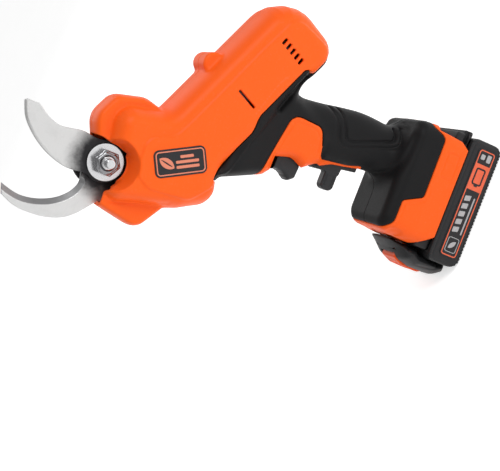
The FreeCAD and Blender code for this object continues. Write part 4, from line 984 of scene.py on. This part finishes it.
def battery_label(side):
    """Black print field with an orange border and blocks, charge bars and a cell mark."""
    top = box_mm("battery_labels")[1][1]
    g = Grid((LABEL[0] - 1, top - 1.2, LABEL[2] - 1), (LABEL[1] + 1, top + 0.6, LABEL[3] + 1), 0.3)
    x0, x1, z0, z1 = LABEL

    def patch(a, b, c, d, r=0.6):
        return g.outline(rounded([(a, c, r), (b, c, r), (b, d, r), (a, d, r)]))

    field = patch(x0, x1, z0, z1, 3)
    name = "left" if side > 0 else "right"
    build(name + "_label_field", prism(field, g.Y - (top - 0.4), 0.4, 0.15), g, PLATE_GREY, "battery",
          ["battery_labels"], mirror=side < 0)
    colored = patch(*LABEL_BLOCK_X, z0 + 0.6, z1 - 0.6, 0.5)
    colored = cut(colored, np.abs(patch(*CELL_MARK, 1.2)) - 0.6)
    colored = cut(colored, patch(*CELL_MARK_END, 0.4))
    orange = np.minimum(np.abs(field + 1.3) - 0.5, np.maximum(colored, field + 1.2))
    build(name + "_label_orange", prism(orange, g.Y - top, 0.2, 0.1), g, PRINT_ORANGE, "battery",
          ["battery_labels"], mirror=side < 0)
    marks = [patch(*mark, 0.8) for mark in SMALL_MARKS]
    for i in range(CHARGE_COUNT):
        start = CHARGE_FIRST + CHARGE_STEP * i
        marks.append(g.outline(rounded([(start + x, z, 0.5) for x, z in CHARGE_BAR])))
    marks.append(patch(*LABEL_RULE, 0.5))
    marks.append(np.abs(patch(*LEAF_FRAME, 1.5)) - 0.35)
    marks.append(leaf(g, LEAF_MARK, 8, 3.6, 40))
    grey = np.minimum.reduce(marks)
    build(name + "_label_grey", prism(grey, g.Y - top, 0.2, 0.1), g, PRINT_GREY, "battery",
          ["battery_labels"], mirror=side < 0)


for way in (1, -1):
    side_badge(way)
    battery_label(way)

# ---------- battery

LOWER_CASE = [(-46, 0, 7), (52, 0, 8), (52, 26.2, 6), (-46, 26.2, 7)]
CASE_WALL = (2.4, 3.8, 2.3)               # along X, along Y and under the cells
CELLS_TOP = 23.5
BAY_FRONT, BAY_HALF = 45.5, 32.5          # the open top under the deck
RIDGE_PITCH = 2.6
BASE_PANEL = (3.0, 39.0, 28.0)            # middle, half length and half width
BASE_LINES_X = (-26, -12, 18, 32)
FRONT_BLOCK = [(45.9, 26), (46.8, 51, 1), (48.3, 52, 1), (53.5, 45, 8), (60, 37.5, 10),
               (62.6, 27, 12), (62.3, 8, 8), (58, 1.5, 3), (49, 1, 2), (49, 26)]
FRONT_HALF = 31.0
FRONT_PANEL = [(50, 12, 3), (57, 12, 3), (59, 26, 3), (52, 38, 3), (49, 38, 3)]
DECK = (-45.5, 46.2, -33, 33, 26.3, 38)
TOWER = (-18, 38, -19, 19, 37, 51)
LUG = (-48.6, -41, -31, 31, 24.5, 31)
UPPER_BOX = ((-50, -35, 0), (65, 35, 59))
UPPER_SPACES = [(-36, 44, -30.5, 30.5, 20, 35.5), (-15, 35, -16.5, 16.5, 20, 48.5),
                (46.5, 53.5, -17, 17, 8, 44), (54, 70, -12.3, 12.3, 8, 41),
                (41, 56, -8.3, 8.3, 28, 38), (41, 46.5, -8.3, 8.3, 30, 70)]
CONTACT_SLOTS_Y = (-10.5, -3.5, 3.5, 10.5)
RAIL_Y = 31.5
LATCH_FACE = [(55, 39.5, 1), (59.4, 39.5, 2), (63, 31, 8), (63.4, 17, 6), (61, 12, 1), (55, 12, 1)]
LATCH_FACE_HALF = 11.5
LATCH_SCOOP = (71.5, 26.0, 11.5)          # X, Z and radius
LATCH_RIBS_Z = (30.5, 33.0, 35.5)
LATCH_ARM = (42, 56, -7.5, 7.5, 31.5, 35)
LATCH_TOOTH = [(41.5, 31.5), (41.5, 55.5), (44.2, 55.5), (45.8, 52), (45.8, 31.5)]
LATCH_TOOTH_HALF = 7.5


def lower_case():
    low, high = box_mm("battery_lower_case")
    g = Grid([c - 1.4 for c in low], [c + 1.4 for c in high], 0.6)
    side = np.abs(g.Y)
    form = g.outline(rounded(LOWER_CASE))
    plan = block(g, low[0] - 0.01, high[0], low[1], high[1], -20, 60, 5)
    solid = meet(prism(form, g.Y, high[1], 1.6), plan, 1)
    ridges = np.maximum(np.sin(2 * math.pi * g.X / RIDGE_PITCH), 0)
    ridges = ridges * step_up(2.6 - g.Z, 1.4) * step_up(side - 33, 1)
    solid = solid + 0.7 * ridges
    solid = groove(solid, form + 2.4, 0.35 * step_up(side - 36.5, 0.7), 0.7)
    middle, half_length, half_width = BASE_PANEL
    under = np.maximum(np.abs(g.X - middle) - half_length, side - half_width)
    solid = groove(solid, under, 0.6 * (g.Z < 3), 0.7)
    for x in BASE_LINES_X:
        solid = groove(solid, g.X - x, 0.4 * (g.Z < 3) * (under < 0), 0.6)
    end, flank, base = CASE_WALL
    cells = (low[0] + end, high[0] - end, low[1] + flank, high[1] - flank, base, CELLS_TOP)
    bay = (low[0] + end, BAY_FRONT, -BAY_HALF, BAY_HALF, 20, 60)
    for space in (cells, bay):
        solid = cut(solid, block(g, *space, 1))
    build("battery_lower_skin", solid, g, CASE_BLACK, "battery", ["battery_lower_case"])


def upper_case():
    g = Grid(*UPPER_BOX, 0.6)
    solid = join(block(g, *DECK, 2), block(g, *TOWER, 2), 1)
    solid = join(solid, pillow(g.outline(rounded(FRONT_BLOCK)), g.Y, FRONT_HALF, 11.0, 2.5), 1.5)
    solid = join(solid, block(g, *LUG, 1.4), 1)
    panel = g.outline(rounded(FRONT_PANEL))
    solid = groove(solid, panel, 0.5 * step_up(np.abs(g.Y) - 15, 2), 0.9)
    slots = [(-45, 12, y - 1.1, y + 1.1, 40.4, 49.2) for y in CONTACT_SLOTS_Y]
    rails = [(-55, 38, y - 2.5, y + 2.5, 28, 32) for y in (-RAIL_Y, RAIL_Y)]
    for space in UPPER_SPACES + slots + rails:
        solid = cut(solid, block(g, *space), 0.3)
    build("battery_upper_skin", solid, g, CASE_BLACK, "battery", ["battery_upper_case"])


def latch():
    low, high = box_mm("battery_latch")
    g = Grid([c - 1.2 for c in low], [c + 1.8 for c in high], 0.4)
    button = prism(g.outline(rounded(LATCH_FACE)), g.Y, LATCH_FACE_HALF, 1.2)
    x, z, radius = LATCH_SCOOP
    scoop = np.sqrt((g.X - x) ** 2 + (g.Y * 0.9) ** 2 + (g.Z - z) ** 2) - radius
    button = cut(button, scoop, 0.8)
    for z in LATCH_RIBS_Z:
        button = groove(button, g.Z - z, 0.4 * (g.X > 57) * (np.abs(g.Y) < 8.5), 0.5)
    solid = join(button, block(g, *LATCH_ARM, 0.4), 0.5)
    solid = join(solid, prism(g.outline(LATCH_TOOTH), g.Y, LATCH_TOOTH_HALF, 0.3), 0.5)
    build("battery_latch_skin", solid, g, RELEASE, "battery_latch", ["battery_latch"])


lower_case()
upper_case()
latch()

for screws in ("housing_screws", "gear_case_screws", "hook_screws"):
    soften(screws, 0.2)

# ---------- light, floor and camera

SENSOR = 36.0
LENS = 102.2
VIEW_ELEVATION = math.radians(20)
VIEW_ROLL = math.radians(68.5)
VIEW_AIM = (84.1, 0, 149.5)
VIEW_DISTANCE = 1048.8
LIGHT_AIM = (0.02, 0, 0.18)
SOFTBOXES = (("key", (-0.7, 0.9, 1.1), (0.6, 0.6), 9),        # places and sizes in metres, watts
             ("fill", (1.2, 0.9, 0.6), (0.9, 0.9), 2),
             ("rim", (-0.3, -1.2, 1.0), (1.2, 0.8), 5))
FLOOR_HALF = 60000.0
FLOOR_TINTS = ((0.90, 0.90, 0.90, 1), (0.93, 0.93, 0.93, 1))
FLOOR_GLOW = 0.62
SKY_STRENGTH = 0.42


def place_camera():
    back = Vector((0, math.cos(VIEW_ELEVATION), math.sin(VIEW_ELEVATION)))
    level = Vector((-1, 0, 0))
    upright = back.cross(level)
    c, s = math.cos(VIEW_ROLL), math.sin(VIEW_ROLL)
    right = level * c - upright * s
    up = level * s + upright * c
    data = bpy.data.cameras.new("camera")
    data.sensor_width = SENSOR
    data.lens = LENS
    camera = bpy.data.objects.new("camera", data)
    bpy.context.scene.collection.objects.link(camera)
    turn = Matrix((right, up, back)).transposed().to_4x4()
    camera.matrix_world = Matrix.Translation((Vector(VIEW_AIM) + back * VIEW_DISTANCE) * MM) @ turn
    bpy.context.scene.camera = camera


def softbox(name, place, size, power):
    data = bpy.data.lights.new(name, "AREA")
    data.shape = "RECTANGLE"
    data.size, data.size_y = size
    data.energy = power
    light = bpy.data.objects.new(name, data)
    light.location = place
    light.rotation_euler = (Vector(LIGHT_AIM) - Vector(place)).to_track_quat("-Z", "Y").to_euler()
    bpy.context.scene.collection.objects.link(light)


def floor():
    mat, tree, shader, where = start_material("floor_white", specular=0.2)
    color = mix(tree, noise(tree, where, 60, 3), *FLOOR_TINTS)
    tree.links.new(color, shader.inputs["Base Color"])
    tree.links.new(color, shader.inputs["Emission Color"])
    shader.inputs["Emission Strength"].default_value = FLOOR_GLOW
    shader.inputs["Roughness"].default_value = 0.9
    half = FLOOR_HALF
    corners = [(-half, -half, 0), (half, -half, 0), (half, half, 0), (-half, half, 0)]
    piece = make_mesh("floor", corners, [(0, 1, 2, 3)])
    piece.data.materials.append(mat)


def world():
    sky = bpy.data.worlds.new("studio")
    sky.use_nodes = True
    sky.node_tree.nodes["Background"].inputs["Color"].default_value = (1, 1, 1, 1)
    sky.node_tree.nodes["Background"].inputs["Strength"].default_value = SKY_STRENGTH
    bpy.context.scene.world = sky
    bpy.context.scene.view_settings.view_transform = "Standard"


place_camera()
floor()
world()
for box in SOFTBOXES:
    softbox(*box)
